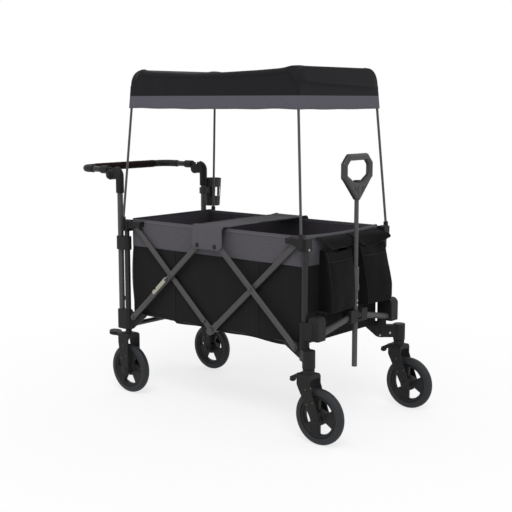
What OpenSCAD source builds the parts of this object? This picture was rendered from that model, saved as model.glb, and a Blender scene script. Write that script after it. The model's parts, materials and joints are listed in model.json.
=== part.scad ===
// Folding stroller wagon with a canopy, a push handle at the rear and a pull handle at the front.
// +X points to the pull-handle end, +Y to the left side, +Z up; z = 0 is the floor.
// Inside the shapes, heights count from the deck, a level wheel_clear above the wheels.

/* [Frame] */
// Distance between the front and rear corner posts
post_span = 858; // [820:1:920]
// Distance between the right and left corner posts
post_gauge = 470; // [440:1:540]
// Outside diameter of the outer post tubes
post_d = 22; // [20:0.5:24]
// Wall of the frame tubes
tube_wall = 1.5; // [1:0.1:2]
// Height of the top end of the outer post tubes, over the deck
post_top = 410; // [390:1:425]
// Height of the lower scissor pivots, over the deck
pivot_low = 101; // [96:1:112]
// Height of the upper scissor pivots, over the deck
pivot_high = 459; // [450:1:490]
// Distance from a post axis to its scissor pivots
pivot_inset = 35; // [33:0.5:42]
// Angle that the scissor arms turn when the wagon is folded
fold_angle = 31; // [20:0.5:31]
// Width of a scissor arm
arm_w = 22; // [18:0.5:24]
// Thickness of a scissor arm
arm_t = 10; // [8:0.5:12]
// Diameter of the scissor pivot pins
pivot_pin_d = 8; // [6:0.5:9]
// Diameter of the rear crossbar
crossbar_d = 19; // [16:0.5:20]
// Diameter of the crossbar under the middle of the floor
centre_bar_d = 16; // [12:0.5:20]
// Length of the fold hook from its pivot to its tip
hook_len = 92; // [70:1:110]

/* [Wheels] */
// Diameter of the wheels over the tyre
wheel_d = 190; // [180:1:200]
// Width of the tyre
tyre_w = 30; // [26:0.5:36]
// Height of the tyre over the rim
tyre_h = 23; // [18:0.5:28]
// Diameter of the axles
axle_d = 10; // [8:0.5:12]
// Distance of the caster stems in front of the front posts
stem_fwd = 50; // [46:0.5:60]
// Distance of the caster stems outside the front posts
stem_out = 42; // [38:0.5:50]
// Diameter of the caster stems
stem_d = 16; // [12:0.5:20]
// Distance from the caster stem to the axle
caster_trail = 48; // [44:0.5:60]
// Distance from the rear posts to the rear axles
rear_trail = 8; // [0:0.5:14]
// Thickness of the fork plates
fork_wall = 6; // [5:0.5:8]
// Gap between the tyre and a fork plate
fork_gap = 12; // [8:0.5:16]
// Height of the deck above the top of the wheels
wheel_clear = 10; // [6:0.5:14]

/* [Push handle] */
// Diameter of the push handle's tubes
handle_d = 22; // [20:0.5:24]
// Distance of the push handle's uprights behind the rear posts
upright_back = 35; // [34:0.5:42]
// Distance of the elbow pivots behind the uprights
elbow_back = 39; // [37:0.5:46]
// Height of the elbow pivots, over the deck
elbow_z = 646; // [610:1:700]
// Height of the handle's arms above the elbow pivots
handle_rise = 17; // [15:0.5:20]
// Distance of the grip behind the elbow pivots
handle_back = 182; // [160:1:220]
// Bend radius of the handle's corners
handle_bend = 50; // [40:1:56]
// Diameter of the leather grip
grip_d = 31; // [28:0.5:34]
// Length of the leather grip
grip_len = 330; // [260:1:340]
// Diameter of the cup holder at its rim
cup_d = 76; // [70:1:86]
// Height of the cup holder
cup_h = 115; // [90:1:120]

/* [Pull handle] */
// Distance of the pull pole in front of the front posts
hub_fwd = 42; // [41:0.5:46]
// Height of the pull pole's pivot, over the deck
hub_z = 187; // [183:1:192]
// Width of the pull hub
hub_w = 100; // [84:1:120]
// Height of the pull hub
hub_h = 44; // [43:0.5:52]
// Diameter of the front crossbar tubes
bar_d = 22; // [18:0.5:24]
// Diameter of the pull pole's outer tube
pole_d = 19; // [18:0.5:20]
// Diameter of the pull pole's inner tube
inner_pole_d = 15.6; // [13:0.1:15.7]
// Height of the pull pole's lower end, over the deck
pole_low = 3; // [-10:1:30]
// Height of the top of the pull pole's outer tube, over the deck
pole_top = 358; // [340:1:400]
// Height of the bottom bar of the pull grip, over the deck
loop_low = 642; // [620:1:680]
// Height of the pull grip's opening, bar axis to bar axis
loop_h = 95; // [85:1:110]
// Width of the pull grip, bar axis to bar axis
loop_w = 150; // [140:1:170]
// Diameter of the pull grip's bars
loop_d = 24; // [20:0.5:26]

/* [Basket] */
// Height of the basket's rim, over the deck
rim_z = 478; // [472:1:490]
// Thickness of the basket's padded cloth
cloth_t = 3; // [2:0.1:4]
// Width of the strap across the middle of the basket
strap_w = 144; // [110:1:150]
// How far the strap's end flaps hang down
strap_drop = 90; // [70:1:110]
// How far the strap sags between the sides
strap_sag = 5; // [4:0.5:20]
// Depth of the front pockets at their fullest
pocket_depth = 70; // [56:1:74]
// Height of the bottom of the front pockets, over the deck
pocket_low = 212; // [208:1:230]
// Height of the mouth of the front pockets, over the deck
pocket_high = 428; // [400:1:432]
// Length of the pocket flaps
flap_len = 64; // [50:1:70]

/* [Canopy] */
// Diameter of the canopy hoops
hoop_d = 9; // [7:0.5:10]
// Distance of the canopy sockets outside the posts
socket_out = 19; // [18:0.5:22]
// Angle that the hoops lean towards the middle
hoop_lean = 4.3; // [2:0.1:6]
// Angle that the hoops' legs tilt towards each other
hoop_tilt = 3.1; // [1:0.1:5]
// Corner radius of the hoops
hoop_bend = 45; // [35:1:60]
// Height of the canopy's hem, over the deck
hem_z = 900; // [880:1:920]
// Height of the canopy's top, over the deck
canopy_z = 1040; // [1020:1:1060]
// How far the canopy sags between the hoops
canopy_sag = 13; // [5:0.5:16]

/* [Hidden] */
$fn = 48;

// Clearances
run_gap = 0.05;      // pin in its running hole, on the radius
slip_gap = 0.2;      // telescoping tubes, on the radius
seat_gap = 0.1;      // tube in its moulded socket, on the radius
open_gap = 0.25;     // the open scissor pivot, on the radius
face_gap = 0.3;      // faces that pass each other
lap = 2;             // how deep joined shapes of one piece run into each other
beyond = 5;          // how far a cutting tool runs past the face it cuts

// Colours
frame_grey = "#3a393a";
arm_grey = "#474546";
plastic_black = "#262627";
tyre_grey = "#2e3033";
cloth_black = "#232323";
cloth_grey = "#4f4d52";
canopy_black = "#232224";
leather_brown = "#1d0f08";
bare_metal = "#9d9b8d";

// Main places
hx = post_span / 2;
hy = post_gauge / 2;
grip_x = -hx - upright_back - elbow_back - handle_back;
front_reach = hx + stem_fwd + caster_trail + wheel_d / 2;
x_mid = (-grip_x + grip_d / 2 - front_reach) / 2;
axle_z = -wheel_clear - wheel_d / 2;

// Scissors: the outer and the inner plane of the arms, side by side about the posts' plane
plane_gap = 2;
y_out0 = hy + plane_gap / 2;
y_out1 = y_out0 + arm_t;
y_in1 = hy - plane_gap / 2;
y_in0 = y_in1 - arm_t;
arm_span = hx - pivot_inset;
arm_rise = pivot_high - pivot_low;
arm_len = norm([arm_span, arm_rise]);
arm_ang = atan2(arm_rise, arm_span);
fold_rise = arm_len * sin(arm_ang + fold_angle) - arm_rise;
tab_len = arm_w;
lap_len = arm_w / 2 / sin(90 - arm_ang - fold_angle) + 8;
lap_t = (arm_t - 2 * face_gap) / 2;
head_d = pivot_pin_d + 7;
head_t = 2;
head_gap = 0.2;
washer_d = arm_w - 2;
y_inner_head = y_in0 - head_gap - head_t;
ear_r = pivot_pin_d / 2 + 10;
ear_web = 56;
ear_web_low = 6;
ear_web_high = 18;
hook_back = 18;
hook_w = 15;
hook_t = 2.5;
hook_pin_d = 6;
hook_pin_head = 12;
hook_notch = 10;
stud_gap = 64;
stud_back = hook_back + stud_gap;
stud_d = 6;
knuckle_d = arm_w + 6;
knuckle_t = 7;

// Corner housings and brackets
socket_wall = 6;
house_r = post_d / 2 + socket_wall;
rear_house_low = 50;
rear_house_high = 125;
crossbar_z = rear_house_low + crossbar_d / 2 + 5;
crossbar_seat = 9;
rear_post_low = crossbar_z + crossbar_d / 2 + 5;
upright_low = rear_house_low + 12;
band_low = 360;
band_high = post_top + 2;
spacer_z = 162;
spacer_h = 15;
spacer_w = 12;
front_house_low = 62;
collar_low = 133;
collar_high = 195;
front_post_low = front_house_low + 13;
boss_r = stem_d / 2 + 14;
boss_low = 50;
boss_high = 112;
stem_top = boss_high - 12;
web_w = 30;
knuckle_in = 34;
knuckle_fwd = 44;
knuckle_high = collar_high + 22;
knuckle_out = 10;
inner_post_d = post_d - 2 * tube_wall - 2 * slip_gap;
inner_post_low = post_top - fold_rise - 45;
bracket_drop = 26;
rim_stand = 2;
tube_stop = 14;
bracket_low = pivot_high - bracket_drop;
bracket_high = rim_z - rim_stand;
bracket_w = post_d + 12;
inner_post_high = bracket_high - tube_stop;
cap_h = 12;
cap_wall = 2;
cap_gap = 1;
socket_r = hoop_d / 2 + 4;
socket_low = bracket_low + 8;
socket_high = rim_z + 12;
socket_depth = 38;
socket_in = 3;
ear0 = y_out0 + face_gap;
ear1 = y_out1 - 1;
clip_reach = 44;
clip_w = 16;
clip_h = 20;
clip_low = pivot_high - 6;

// Wheels and forks
fork_in = tyre_w / 2 + fork_gap;
fork_out = fork_in + fork_wall;
fork_top = 36;
fork_arch_z = 19;
fork_round = 14;
crown_half = boss_r + 5;
leg_r = axle_d / 2 + 14;
rim_r = wheel_d / 2 - tyre_h;
rim_wall = 10;
rim_w = tyre_w - 6;
wheel_hub_r = axle_d / 2 + 15;
wheel_hub_w = 2 * (fork_in - 0.8);
spoke_t = 16;
window_angle = 60;
window_in = 8;
window_lip = 2;
front_turn = 0;
rear_turn = 90;
spoke_n = 3;
tyre_flat = 4;
bolt_d = axle_d + 7;
bolt_t = 5;
pedal_pin_d = 6;
pedal_x = -36;
pedal_z = fork_top - 14;
pedal_up = 6;
pedal_t = 14;
pedal_r = 24;
pedal_neck = 28;
pedal_reach = 40;
lock_x = -34;
lock_z = fork_top - 10;
lock_up = -28;
lock_t = 14;
lock_r = 12;
lock_neck = 18;
lock_reach = 32;
lever_ear = 5;

// Push handle
upright_x = -hx - upright_back;
elbow_x = upright_x - elbow_back;
handle_z = elbow_z + handle_rise;
elbow_r = handle_d / 2 + 4.5;
elbow_len = 69;
elbow_bend = 22;
elbow_tail = 14;
elbow_slot = 22;
upright_stop = 6;
elbow_low = elbow_z - elbow_len;
upright_high = elbow_z - upright_stop;
cheek_r = 20;
cheek_in = 9.5;
cheek_out = 15.5;
cheek_web = 16;
button_d = 18;
button_boss = 34;
button_boss_out = 22;
button_travel = 4;
button_len = 9;
button_depth = 9;
elbow_pin_d = 10;
tongue_r = cheek_r - 0.5;
tongue_w = 2 * (cheek_in - face_gap);
arm_socket_start = 22;
arm_socket_len = 40;
sleeve_d = handle_d + 6;
sleeve_arm = 24;
cup_gap = 1;
cup_out = elbow_r + cup_gap + cup_d / 2;
cup_lap = 28;
cup_high = elbow_low + cup_lap;
cup_wall = 3;
cup_base = 0.82;
clamp_w = 26;
clamp_drop = 62;
clamp_z = cup_high - clamp_drop;
cup_slot_w = 12;
cup_slot_h = 42;

// Pull handle
bar_seat = 15;
bar_drop_hub = 4;
bar_drop_end = 40;
bar_tuck = 20;
bar_z_hub = hub_z - bar_drop_hub;
bar_z_end = hub_z - bar_drop_end;
bar_y_hub = hub_w / 2 - bar_seat;
bar_y_end = hy - knuckle_in + bar_tuck;
bar_tilt = atan2(bar_z_end - bar_z_hub, bar_y_end - bar_y_hub);
hub_x = hx + hub_fwd;
hub_depth = 38;
trunnion_r = pole_d / 2 + 9;
trunnion_w = 27.4;
cheek_y = trunnion_w / 2 + face_gap;
hub_pin_d = 12;
hub_pin_len = 15;
hub_bridge = 4;
hub_bridge_gap = 1.5;
hub_bridge_h = hub_h / 2 - hub_bridge_gap - sqrt(pow(trunnion_r, 2) - pow(hub_depth / 2 - hub_bridge, 2));
pole_wall = (pole_d - inner_pole_d) / 2 - seat_gap;
pole_plug = 6;
inner_pole_low = pole_low + 30;
inner_pole_wall = 1.5;
collar_z = 275;
collar_h = 21;
collar_d = pole_d + 7;
pole_sleeve_d = pole_d + 4;
neck_d = 25;
neck_low = loop_low - 52;
neck_socket = 34;
loop_shoulder = 24;
loop_side = 42;
loop_foot = 52;
neck_web = 18;
neck_flare = 30;
tab_w = 26;
tab_depth = 14;
tab_h = 11;
tab_rise = 4;
tab_travel = 5;

// Basket, measured from the seats on the top brackets
wall_x = hx - bracket_w / 2 - face_gap;
side_y = y_inner_head - 1.8;
floor_low = pivot_low + centre_bar_d / 2 + face_gap;
wall_y = hy - bracket_w / 2 + 4;
strap_t = 2.5;
strap_y = y_out1 + head_gap + head_t + 1.3;
strap_z = rim_z + face_gap + strap_t + strap_sag * (1 - pow((side_y - cloth_t) / strap_y, 2));
strap_steps = 16;
pocket_in = 14;
pocket_side = 24;
pocket_out = hy - bracket_w / 2 - pocket_side;
pocket_wall = 2.5;
flap_angle = 46;
flap_t = 2.5;

// Canopy: hoop outline in its own leaning plane
bend_z = socket_high;
hoop_y = hy + socket_out;
hoop_x = hx - socket_in;
joint_len = 6;
joint_gap = 1.2;
joint_wall = 0.5;
joint_turn = joint_gap / hoop_bend * 180 / PI;
hoop_clear = 2;
hem_gap = 0.6;
bar_z = canopy_z - cloth_t - hoop_clear - hoop_d / 2;
hoop_top = (bar_z - bend_z) / cos(hoop_lean);
arc_w = hoop_top - hoop_bend;
leg_w = arc_w + hoop_bend * sin(hoop_tilt);
arc_y = hoop_y - leg_w * tan(hoop_tilt) - hoop_bend * cos(hoop_tilt);
hem_x = hoop_x - (hem_z - bend_z) * tan(hoop_lean) + hoop_d / 2 + hem_gap + cloth_t;
hem_y = hoop_y - (hem_z - bend_z) * tan(hoop_tilt) + hoop_d / 2 + hem_gap + cloth_t;
shoulder_z = bend_z + arc_w * cos(hoop_lean);
shoulder_r = hoop_bend + hoop_d / 2 + hoop_clear + cloth_t;
canopy_corner = hoop_d / 2 + hem_gap + cloth_t;
end_round = 5;
corner_steps = 3;
side_steps = 6;
shoulder_steps = 4;
ring_n = 4 * (corner_steps + side_steps);
sag_x = hem_x - (canopy_z - hem_z) * tan(hoop_lean) - cloth_t - 2 * hoop_d;
roof_shares = [0.75, 0.45, 0.15];

// Shared shapes

module wagon() { translate([x_mid, 0, wheel_d + wheel_clear]) children(); }

module both_sides() {
    children();
    mirror([0, 1, 0]) children();
}

module on_right(right) {
    if (right) mirror([0, 1, 0]) children();
    else children();
}

module at_front(front) {
    if (front) mirror([1, 0, 0]) children();
    else children();
}

// Cylinder along Y from y0 to y1
module pin_y(d, y0, y1) { translate([0, y0, 0]) rotate([-90, 0, 0]) cylinder(d = d, h = y1 - y0); }

// Outline in the XZ plane, made solid from y0 to y1
module slab_y(y0, y1) { rotate([90, 0, 0]) translate([0, 0, -y1]) linear_extrude(y1 - y0) children(); }

module pipe(d, wall, h) {
    difference() {
        cylinder(d = d, h = h);
        translate([0, 0, -beyond]) cylinder(d = d - 2 * wall, h = h + 2 * beyond);
    }
}

// Flat oval, t wide and w high
module oval(t, w) {
    for (s = [-1, 1]) translate([0, s * (w - t) / 2]) circle(d = t);
    square([t, w - t], center = true);
}

// Round-ended strip from the origin to x = len
module strip(len, w) {
    circle(d = w);
    translate([len, 0]) circle(d = w);
    translate([min(len, 0), -w / 2]) square([abs(len), w]);
}

// Arch outline with round upper corners, from y = low up
module arch(half, low, high, r) {
    translate([-half, low]) square([2 * half, high - low - r]);
    translate([-half + r, low]) square([2 * (half - r), high - low]);
    for (s = [-1, 1]) translate([s * (half - r), high - r]) circle(r = r);
}

// Straight bar between two points of the YZ plane
module bar_yz(p, q, d) {
    v = q - p;
    translate([0, p[0], p[1]]) rotate([atan2(v[1], v[0]) - 90, 0, 0]) cylinder(d = d, h = norm(v));
}

// Rear frame

// Lower pivot's ear with a web under the arm, down to the housing's foot
module pivot_ear(side_in, foot) {
    translate([pivot_inset - hx, 0, pivot_low]) {
        slab_y(side_in, y_out0 - face_gap) {
            strip(-pivot_inset + post_d / 4, 2 * ear_r);
            polygon([[-pivot_inset, foot - pivot_low], [house_r - pivot_inset, foot - pivot_low],
                     [ear_web, ear_web_low], [ear_web, ear_web_high], [-pivot_inset, ear_web_high]]);
        }
        pin_y(pivot_pin_d, side_in, y_out1 + head_gap + lap / 2);
        pin_y(head_d, y_out1 + head_gap, y_out1 + head_gap + head_t);
    }
}

module rear_housing() {
    difference() {
        union() {
            translate([-hx, hy, rear_house_low]) linear_extrude(rear_house_high - rear_house_low)
                strip(-upright_back, 2 * house_r);
            pivot_ear(y_in0, rear_house_low);
        }
        translate([-hx, hy, rear_post_low]) cylinder(d = post_d + 2 * seat_gap, h = rear_house_high);
        translate([upright_x, hy, upright_low]) cylinder(d = handle_d + 2 * seat_gap, h = rear_house_high);
        translate([-hx, 0, crossbar_z])
            pin_y(crossbar_d + 2 * seat_gap, 0, hy - house_r + crossbar_seat + seat_gap);
    }
}

module rear_housings() { color(plastic_black) wagon() both_sides() rear_housing(); }

// Tube with a long cap that reaches up to the bracket
module capped_post(low) {
    cap_low = post_top - cap_h;
    translate([0, 0, low]) pipe(post_d, tube_wall, post_top - low);
    translate([0, 0, cap_low]) pipe(post_d + 2 * cap_wall, cap_wall + tube_wall, bracket_low - cap_gap - cap_low);
}

module rear_posts() {
    color(frame_grey) wagon() both_sides() translate([-hx, hy, rear_post_low])
        pipe(post_d, tube_wall, post_top - rear_post_low);
}

module rear_crossbar() {
    reach = hy - house_r + crossbar_seat;
    color(frame_grey) wagon() translate([-hx, 0, crossbar_z]) difference() {
        pin_y(crossbar_d, -reach, reach);
        pin_y(crossbar_d - 2 * tube_wall, -reach - beyond, reach + beyond);
    }
}

module push_uprights() {
    color(frame_grey) wagon() both_sides() translate([upright_x, hy, upright_low])
        pipe(handle_d, tube_wall, upright_high - upright_low);
}

module upright_bands() {
    free = upright_back - post_d / 2 - handle_d / 2 - 2 * seat_gap;
    color(plastic_black) wagon() both_sides() {
        difference() {
            translate([-hx, hy, band_low]) linear_extrude(band_high - band_low)
                strip(-upright_back, 2 * house_r - 1);
            translate([-hx, hy, band_low - beyond]) cylinder(d = post_d + 2 * seat_gap, h = band_high);
            translate([upright_x, hy, band_low - beyond]) cylinder(d = handle_d + 2 * seat_gap, h = band_high);
        }
        translate([-hx - post_d / 2 - seat_gap - free, hy - spacer_w / 2, spacer_z])
            cube([free, spacer_w, spacer_h]);
    }
}

// Sleeve of the upright, bent over towards the arm, with a slot for the elbow's tongue
module elbow_sleeve() {
    bend_high = handle_z - elbow_bend;
    difference() {
        union() {
            translate([upright_x, hy, elbow_low]) cylinder(r = elbow_r, h = bend_high - elbow_low);
            translate([upright_x - elbow_bend, hy, bend_high]) rotate([90, 0, 0]) rotate_extrude(angle = 90)
                translate([elbow_bend, 0]) circle(r = elbow_r);
            translate([elbow_x + elbow_tail, hy, handle_z]) rotate([0, 90, 0])
                cylinder(r = elbow_r, h = elbow_back - elbow_bend - elbow_tail);
        }
        translate([elbow_x, hy - cheek_in, elbow_z - cheek_r]) cube([elbow_slot, 2 * cheek_in, 3 * cheek_r]);
    }
}

module elbow_socket() {
    difference() {
        union() {
            elbow_sleeve();
            translate([elbow_x, hy, elbow_z]) {
                for (s = [-1, 1])
                    slab_y(s * (cheek_in + cheek_out) / 2 - (cheek_out - cheek_in) / 2,
                           s * (cheek_in + cheek_out) / 2 + (cheek_out - cheek_in) / 2) {
                        circle(r = cheek_r);
                        translate([0, -cheek_web]) square([elbow_back, 2 * cheek_web]);
                    }
                pin_y(elbow_pin_d, -cheek_out, cheek_out);
                pin_y(button_boss, cheek_in, button_boss_out);
            }
        }
        translate([upright_x, hy, elbow_low - beyond])
            cylinder(d = handle_d + 2 * seat_gap, h = upright_high - elbow_low + beyond + seat_gap);
        translate([elbow_x, hy, elbow_z])
            pin_y(button_d + 2 * face_gap, button_boss_out - button_depth, button_boss_out + beyond);
    }
}

module elbow_sockets() { color(plastic_black) wagon() both_sides() elbow_socket(); }

module cup_holder() {
    r1 = cup_d / 2;
    r0 = r1 * cup_base;
    cup_low = cup_high - cup_h;
    color(plastic_black) wagon() difference() {
        union() {
            translate([upright_x, hy + cup_out, cup_low]) cylinder(r1 = r0, r2 = r1, h = cup_h);
            translate([upright_x, hy, clamp_z]) {
                cylinder(d = handle_d + 2 * socket_wall, h = clamp_w);
                translate([-clamp_w / 2, 0, 0]) cube([clamp_w, cup_out - r0 + 2 * cup_wall, clamp_w]);
            }
        }
        translate([upright_x, hy + cup_out, cup_low + cup_wall])
            cylinder(r1 = r0 - cup_wall, r2 = r1 - cup_wall, h = cup_h);
        translate([upright_x, hy, clamp_z - beyond])
            cylinder(d = handle_d + 2 * seat_gap, h = clamp_w + 2 * beyond);
        for (a = [-60 : 40 : 100])
            translate([upright_x, hy + cup_out, cup_low + (cup_h - cup_slot_h) / 2]) rotate(a)
                translate([0, -cup_slot_w / 2, 0]) cube([cup_d, cup_slot_w, cup_slot_h]);
    }
}

// Wheels

// Fork about its stem axis, with the axle at x = trail
module fork(trail, lever_x, lever_z, lever_neck) {
    intersection() {
        rotate([90, 0, 90]) translate([0, 0, -wheel_d]) linear_extrude(2 * wheel_d) difference() {
            arch(fork_out, -wheel_d, fork_top, fork_round);
            arch(fork_in, -wheel_d - beyond, fork_arch_z, fork_round - 2);
        }
        slab_y(-wheel_d, wheel_d) {
            translate([trail, axle_z]) circle(r = leg_r);
            polygon([[-crown_half, fork_arch_z - leg_r], [crown_half, fork_arch_z - leg_r],
                     [trail + leg_r, axle_z], [trail - leg_r, axle_z]]);
            translate([-crown_half, fork_arch_z - leg_r])
                square([2 * crown_half, fork_top - fork_arch_z + leg_r]);
        }
    }
    for (s = [-1, 1]) {
        ear_mid = s * (lever_neck / 2 + face_gap + lever_ear / 2);
        translate([lever_x, 0, lever_z]) slab_y(ear_mid - lever_ear / 2, ear_mid + lever_ear / 2)
            strip(-lever_x - crown_half + lap, 2 * lever_ear + pedal_pin_d);
    }
    translate([lever_x, 0, lever_z]) pin_y(pedal_pin_d, -lever_neck / 2 - lever_ear, lever_neck / 2 + lever_ear);
}

module fork_drilled(trail, lever_x, lever_z, lever_neck) {
    difference() {
        fork(trail, lever_x, lever_z, lever_neck);
        translate([trail, 0, axle_z]) pin_y(axle_d + 2 * seat_gap, -wheel_d, wheel_d);
    }
}

module axle(trail) {
    translate([trail, 0, axle_z]) {
        pin_y(axle_d, -fork_out - bolt_t / 2, fork_out + bolt_t / 2);
        for (s = [-1, 1]) {
            inner = fork_out + head_gap;
            pin_y(bolt_d, min(s * inner, s * (inner + bolt_t)), max(s * inner, s * (inner + bolt_t)));
        }
    }
}

// Opening between two spokes, about +X
module wheel_window() {
    reach = wheel_d;
    intersection() {
        difference() {
            circle(r = rim_r - rim_wall - window_lip);
            circle(r = wheel_hub_r + window_in);
        }
        polygon([[0, 0], [reach, -reach * tan(window_angle / 2)], [reach, reach * tan(window_angle / 2)]]);
    }
}

// Wheel with its first spoke turned up from +X
module wheel(turn) {
    difference() {
        union() {
            rotate([90, 0, 0]) rotate_extrude() translate([rim_r - rim_wall, -rim_w / 2]) square([rim_wall, rim_w]);
            pin_y(2 * wheel_hub_r, -wheel_hub_w / 2, wheel_hub_w / 2);
            slab_y(-spoke_t / 2, spoke_t / 2) difference() {
                circle(r = rim_r - rim_wall / 2);
                for (i = [0 : spoke_n - 1]) rotate(turn + 360 / spoke_n * (i + 0.5)) wheel_window();
            }
        }
        pin_y(axle_d + 2 * run_gap, -wheel_d, wheel_d);
    }
}

module tyre() {
    r_in = rim_r + seat_gap;
    r_out = wheel_d / 2;
    r_edge = tyre_w / 2 - tyre_flat / 2;
    rotate([90, 0, 0]) rotate_extrude() {
        translate([r_in, -tyre_w / 2]) square([r_out - r_edge - r_in, tyre_w]);
        translate([r_in, -tyre_w / 2 + r_edge]) square([r_out - r_in, tyre_w - 2 * r_edge]);
        for (s = [-1, 1]) intersection() {
            translate([r_out - r_edge, s * (tyre_w / 2 - r_edge)]) circle(r = r_edge);
            translate([r_in, -tyre_w / 2]) square([r_out, tyre_w]);
        }
    }
}

module at_rear_wheel(right) { wagon() on_right(right) translate([rear_trail - hx, hy, axle_z]) children(); }

module at_stem(right) { wagon() on_right(right) translate([hx + stem_fwd, hy + stem_out, 0]) children(); }

module at_front_wheel(right) { at_stem(right) translate([caster_trail, 0, axle_z]) children(); }

// Foot lever about its own pin
module lever(up, t, r, neck, reach) {
    rotate([0, 180 + up, 0]) difference() {
        union() {
            translate([0, 0, -t / 2]) linear_extrude(t) {
                translate([reach, 0]) circle(r = r);
                translate([0, -neck / 2]) square([reach, neck]);
            }
            pin_y(pedal_pin_d + lever_ear, -neck / 2, neck / 2);
        }
        pin_y(pedal_pin_d + 2 * run_gap, -wheel_d, wheel_d);
    }
}

module rear_forks() {
    color(plastic_black) wagon() both_sides() translate([-hx, hy, 0]) {
        fork_drilled(rear_trail, pedal_x, pedal_z, pedal_neck);
        translate([0, 0, fork_top]) cylinder(r = stem_d / 2 + 4, h = rear_house_low - fork_top);
        axle(rear_trail);
    }
}

module rear_wheel(right) { color(plastic_black) at_rear_wheel(right) wheel(rear_turn); }
module rear_tyre(right) { color(tyre_grey) at_rear_wheel(right) tyre(); }

module brake_pedal(right) {
    color(plastic_black) wagon() on_right(right) translate([pedal_x - hx, hy, pedal_z])
        lever(pedal_up, pedal_t, pedal_r, pedal_neck, pedal_reach);
}

module caster_fork(right) {
    color(plastic_black) at_stem(right) {
        fork_drilled(caster_trail, lock_x, lock_z, lock_neck);
        translate([0, 0, fork_top - lap]) cylinder(d = stem_d, h = stem_top - fork_top + lap - face_gap);
        translate([0, 0, fork_top - lap]) cylinder(r = boss_r - 2, h = boss_low - fork_top + lap - face_gap);
        axle(caster_trail);
    }
}

module front_wheel(right) { color(plastic_black) at_front_wheel(right) wheel(front_turn); }
module front_tyre(right) { color(tyre_grey) at_front_wheel(right) tyre(); }

module swivel_lock(right) {
    color(plastic_black) at_stem(right) translate([lock_x, 0, lock_z])
        lever(lock_up, lock_t, lock_r, lock_neck, lock_reach);
}

// Push handle

module handle_elbow() {
    translate([elbow_x, hy, elbow_z]) difference() {
        union() {
            slab_y(-tongue_w / 2, tongue_w / 2) {
                circle(r = tongue_r);
                translate([-arm_socket_start - lap, 0]) square([arm_socket_start - 8, handle_rise + 9]);
            }
            translate([-arm_socket_start, 0, handle_rise]) rotate([0, -90, 0])
                cylinder(r = elbow_r, h = arm_socket_len);
        }
        pin_y(elbow_pin_d + 2 * run_gap, -cheek_out, cheek_out);
        translate([-arm_socket_start - lap * 2, 0, handle_rise]) rotate([0, -90, 0])
            cylinder(d = handle_d + 2 * seat_gap, h = arm_socket_len);
    }
}

module handle_elbows() { color(plastic_black) wagon() both_sides() handle_elbow(); }

// One corner of the handle's bend, d thick with a bore, the straight ends run_x and run_y long
module handle_corner(d, bore, run_x, run_y) {
    translate([grip_x + handle_bend, hy - handle_bend, handle_z]) difference() {
        union() {
            rotate(90) rotate_extrude(angle = 90) translate([handle_bend, 0]) circle(d = d);
            translate([0, handle_bend, 0]) rotate([0, 90, 0]) cylinder(d = d, h = run_x);
            translate([-handle_bend, 0, 0]) pin_y(d, -run_y, 0);
        }
        if (bore > 0) {
            rotate(90) rotate_extrude(angle = 90) translate([handle_bend, 0]) circle(d = bore);
            translate([0, handle_bend, 0]) rotate([0, 90, 0]) cylinder(d = bore, h = run_x + beyond);
            translate([-handle_bend, 0, 0]) pin_y(bore, -run_y - beyond, 0);
        }
    }
}

module handle_bar() {
    run_x = elbow_x - arm_socket_start - lap * 2 - seat_gap - grip_x - handle_bend;
    color(frame_grey) wagon() both_sides() handle_corner(handle_d, 0, run_x, hy - handle_bend);
}

module handle_sleeves() {
    grip_end = grip_len / 2 + seat_gap;
    color(plastic_black) wagon() both_sides() difference() {
        handle_corner(sleeve_d, handle_d + 2 * seat_gap, sleeve_arm, hy - handle_bend);
        translate([grip_x, 0, handle_z]) pin_y(sleeve_d + grip_d, -beyond, grip_end);
    }
}

module handle_grip() {
    color(leather_brown) wagon() difference() {
        translate([grip_x, 0, handle_z]) pin_y(grip_d, -grip_len / 2, grip_len / 2);
        both_sides() handle_corner(handle_d + 2 * seat_gap, 0, sleeve_arm, hy - handle_bend + beyond);
    }
}

module elbow_button(right) {
    inner = button_boss_out - button_depth + button_travel + face_gap;
    color(frame_grey) wagon() on_right(right) translate([elbow_x, hy, elbow_z])
        pin_y(button_d, inner, inner + button_len);
}

// Scissor arms

// One arm from its post pivot at the origin to its middle pivot at x = arm_len
module arm_blank(y0, lap_y) {
    translate([tab_len - lap, y0 + arm_t / 2, 0]) rotate([90, 0, 90])
        linear_extrude(arm_len - tab_len - lap_len + 2 * lap) oval(arm_t, arm_w);
    slab_y(y0, y0 + arm_t) {
        circle(d = arm_w);
        translate([0, -arm_w / 2]) square([tab_len, arm_w]);
    }
    slab_y(lap_y, lap_y + lap_t) {
        translate([arm_len, 0]) circle(d = arm_w);
        translate([arm_len - lap_len, -arm_w / 2]) square([lap_len, arm_w]);
    }
}

// Places its children on one arm, with x along the arm from its post pivot
module on_arm(front, rising) {
    wagon() at_front(front) translate([-arm_span, 0, rising ? pivot_low : pivot_high])
        rotate([0, rising ? -arm_ang : arm_ang, 0]) children();
}

module scissor_pair(front, rising, y0, lap_y, mid_gap) {
    on_arm(front, rising) both_sides() difference() {
        arm_blank(y0, lap_y);
        for (x = [0, arm_len / 2]) translate([x, 0, 0]) pin_y(pivot_pin_d + 2 * run_gap, 0, post_gauge);
        translate([arm_len, 0, 0]) pin_y(pivot_pin_d + 2 * mid_gap, 0, post_gauge);
    }
}

// Rivet along Y: shaft, and a head at each end
module rivet(y0, y1, outer_d, outer_t) {
    pin_y(pivot_pin_d, y0 - head_gap - head_t, y1 + head_gap + outer_t);
    pin_y(head_d, y0 - head_gap - head_t, y0 - head_gap);
    pin_y(outer_d, y1 + head_gap, y1 + head_gap + outer_t);
}

module crossing_rivet() {
    rivet(y_in0, y_out1, head_d, head_t);
    pin_y(washer_d, y_in1 + head_gap, y_out0 - head_gap);
}

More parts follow.
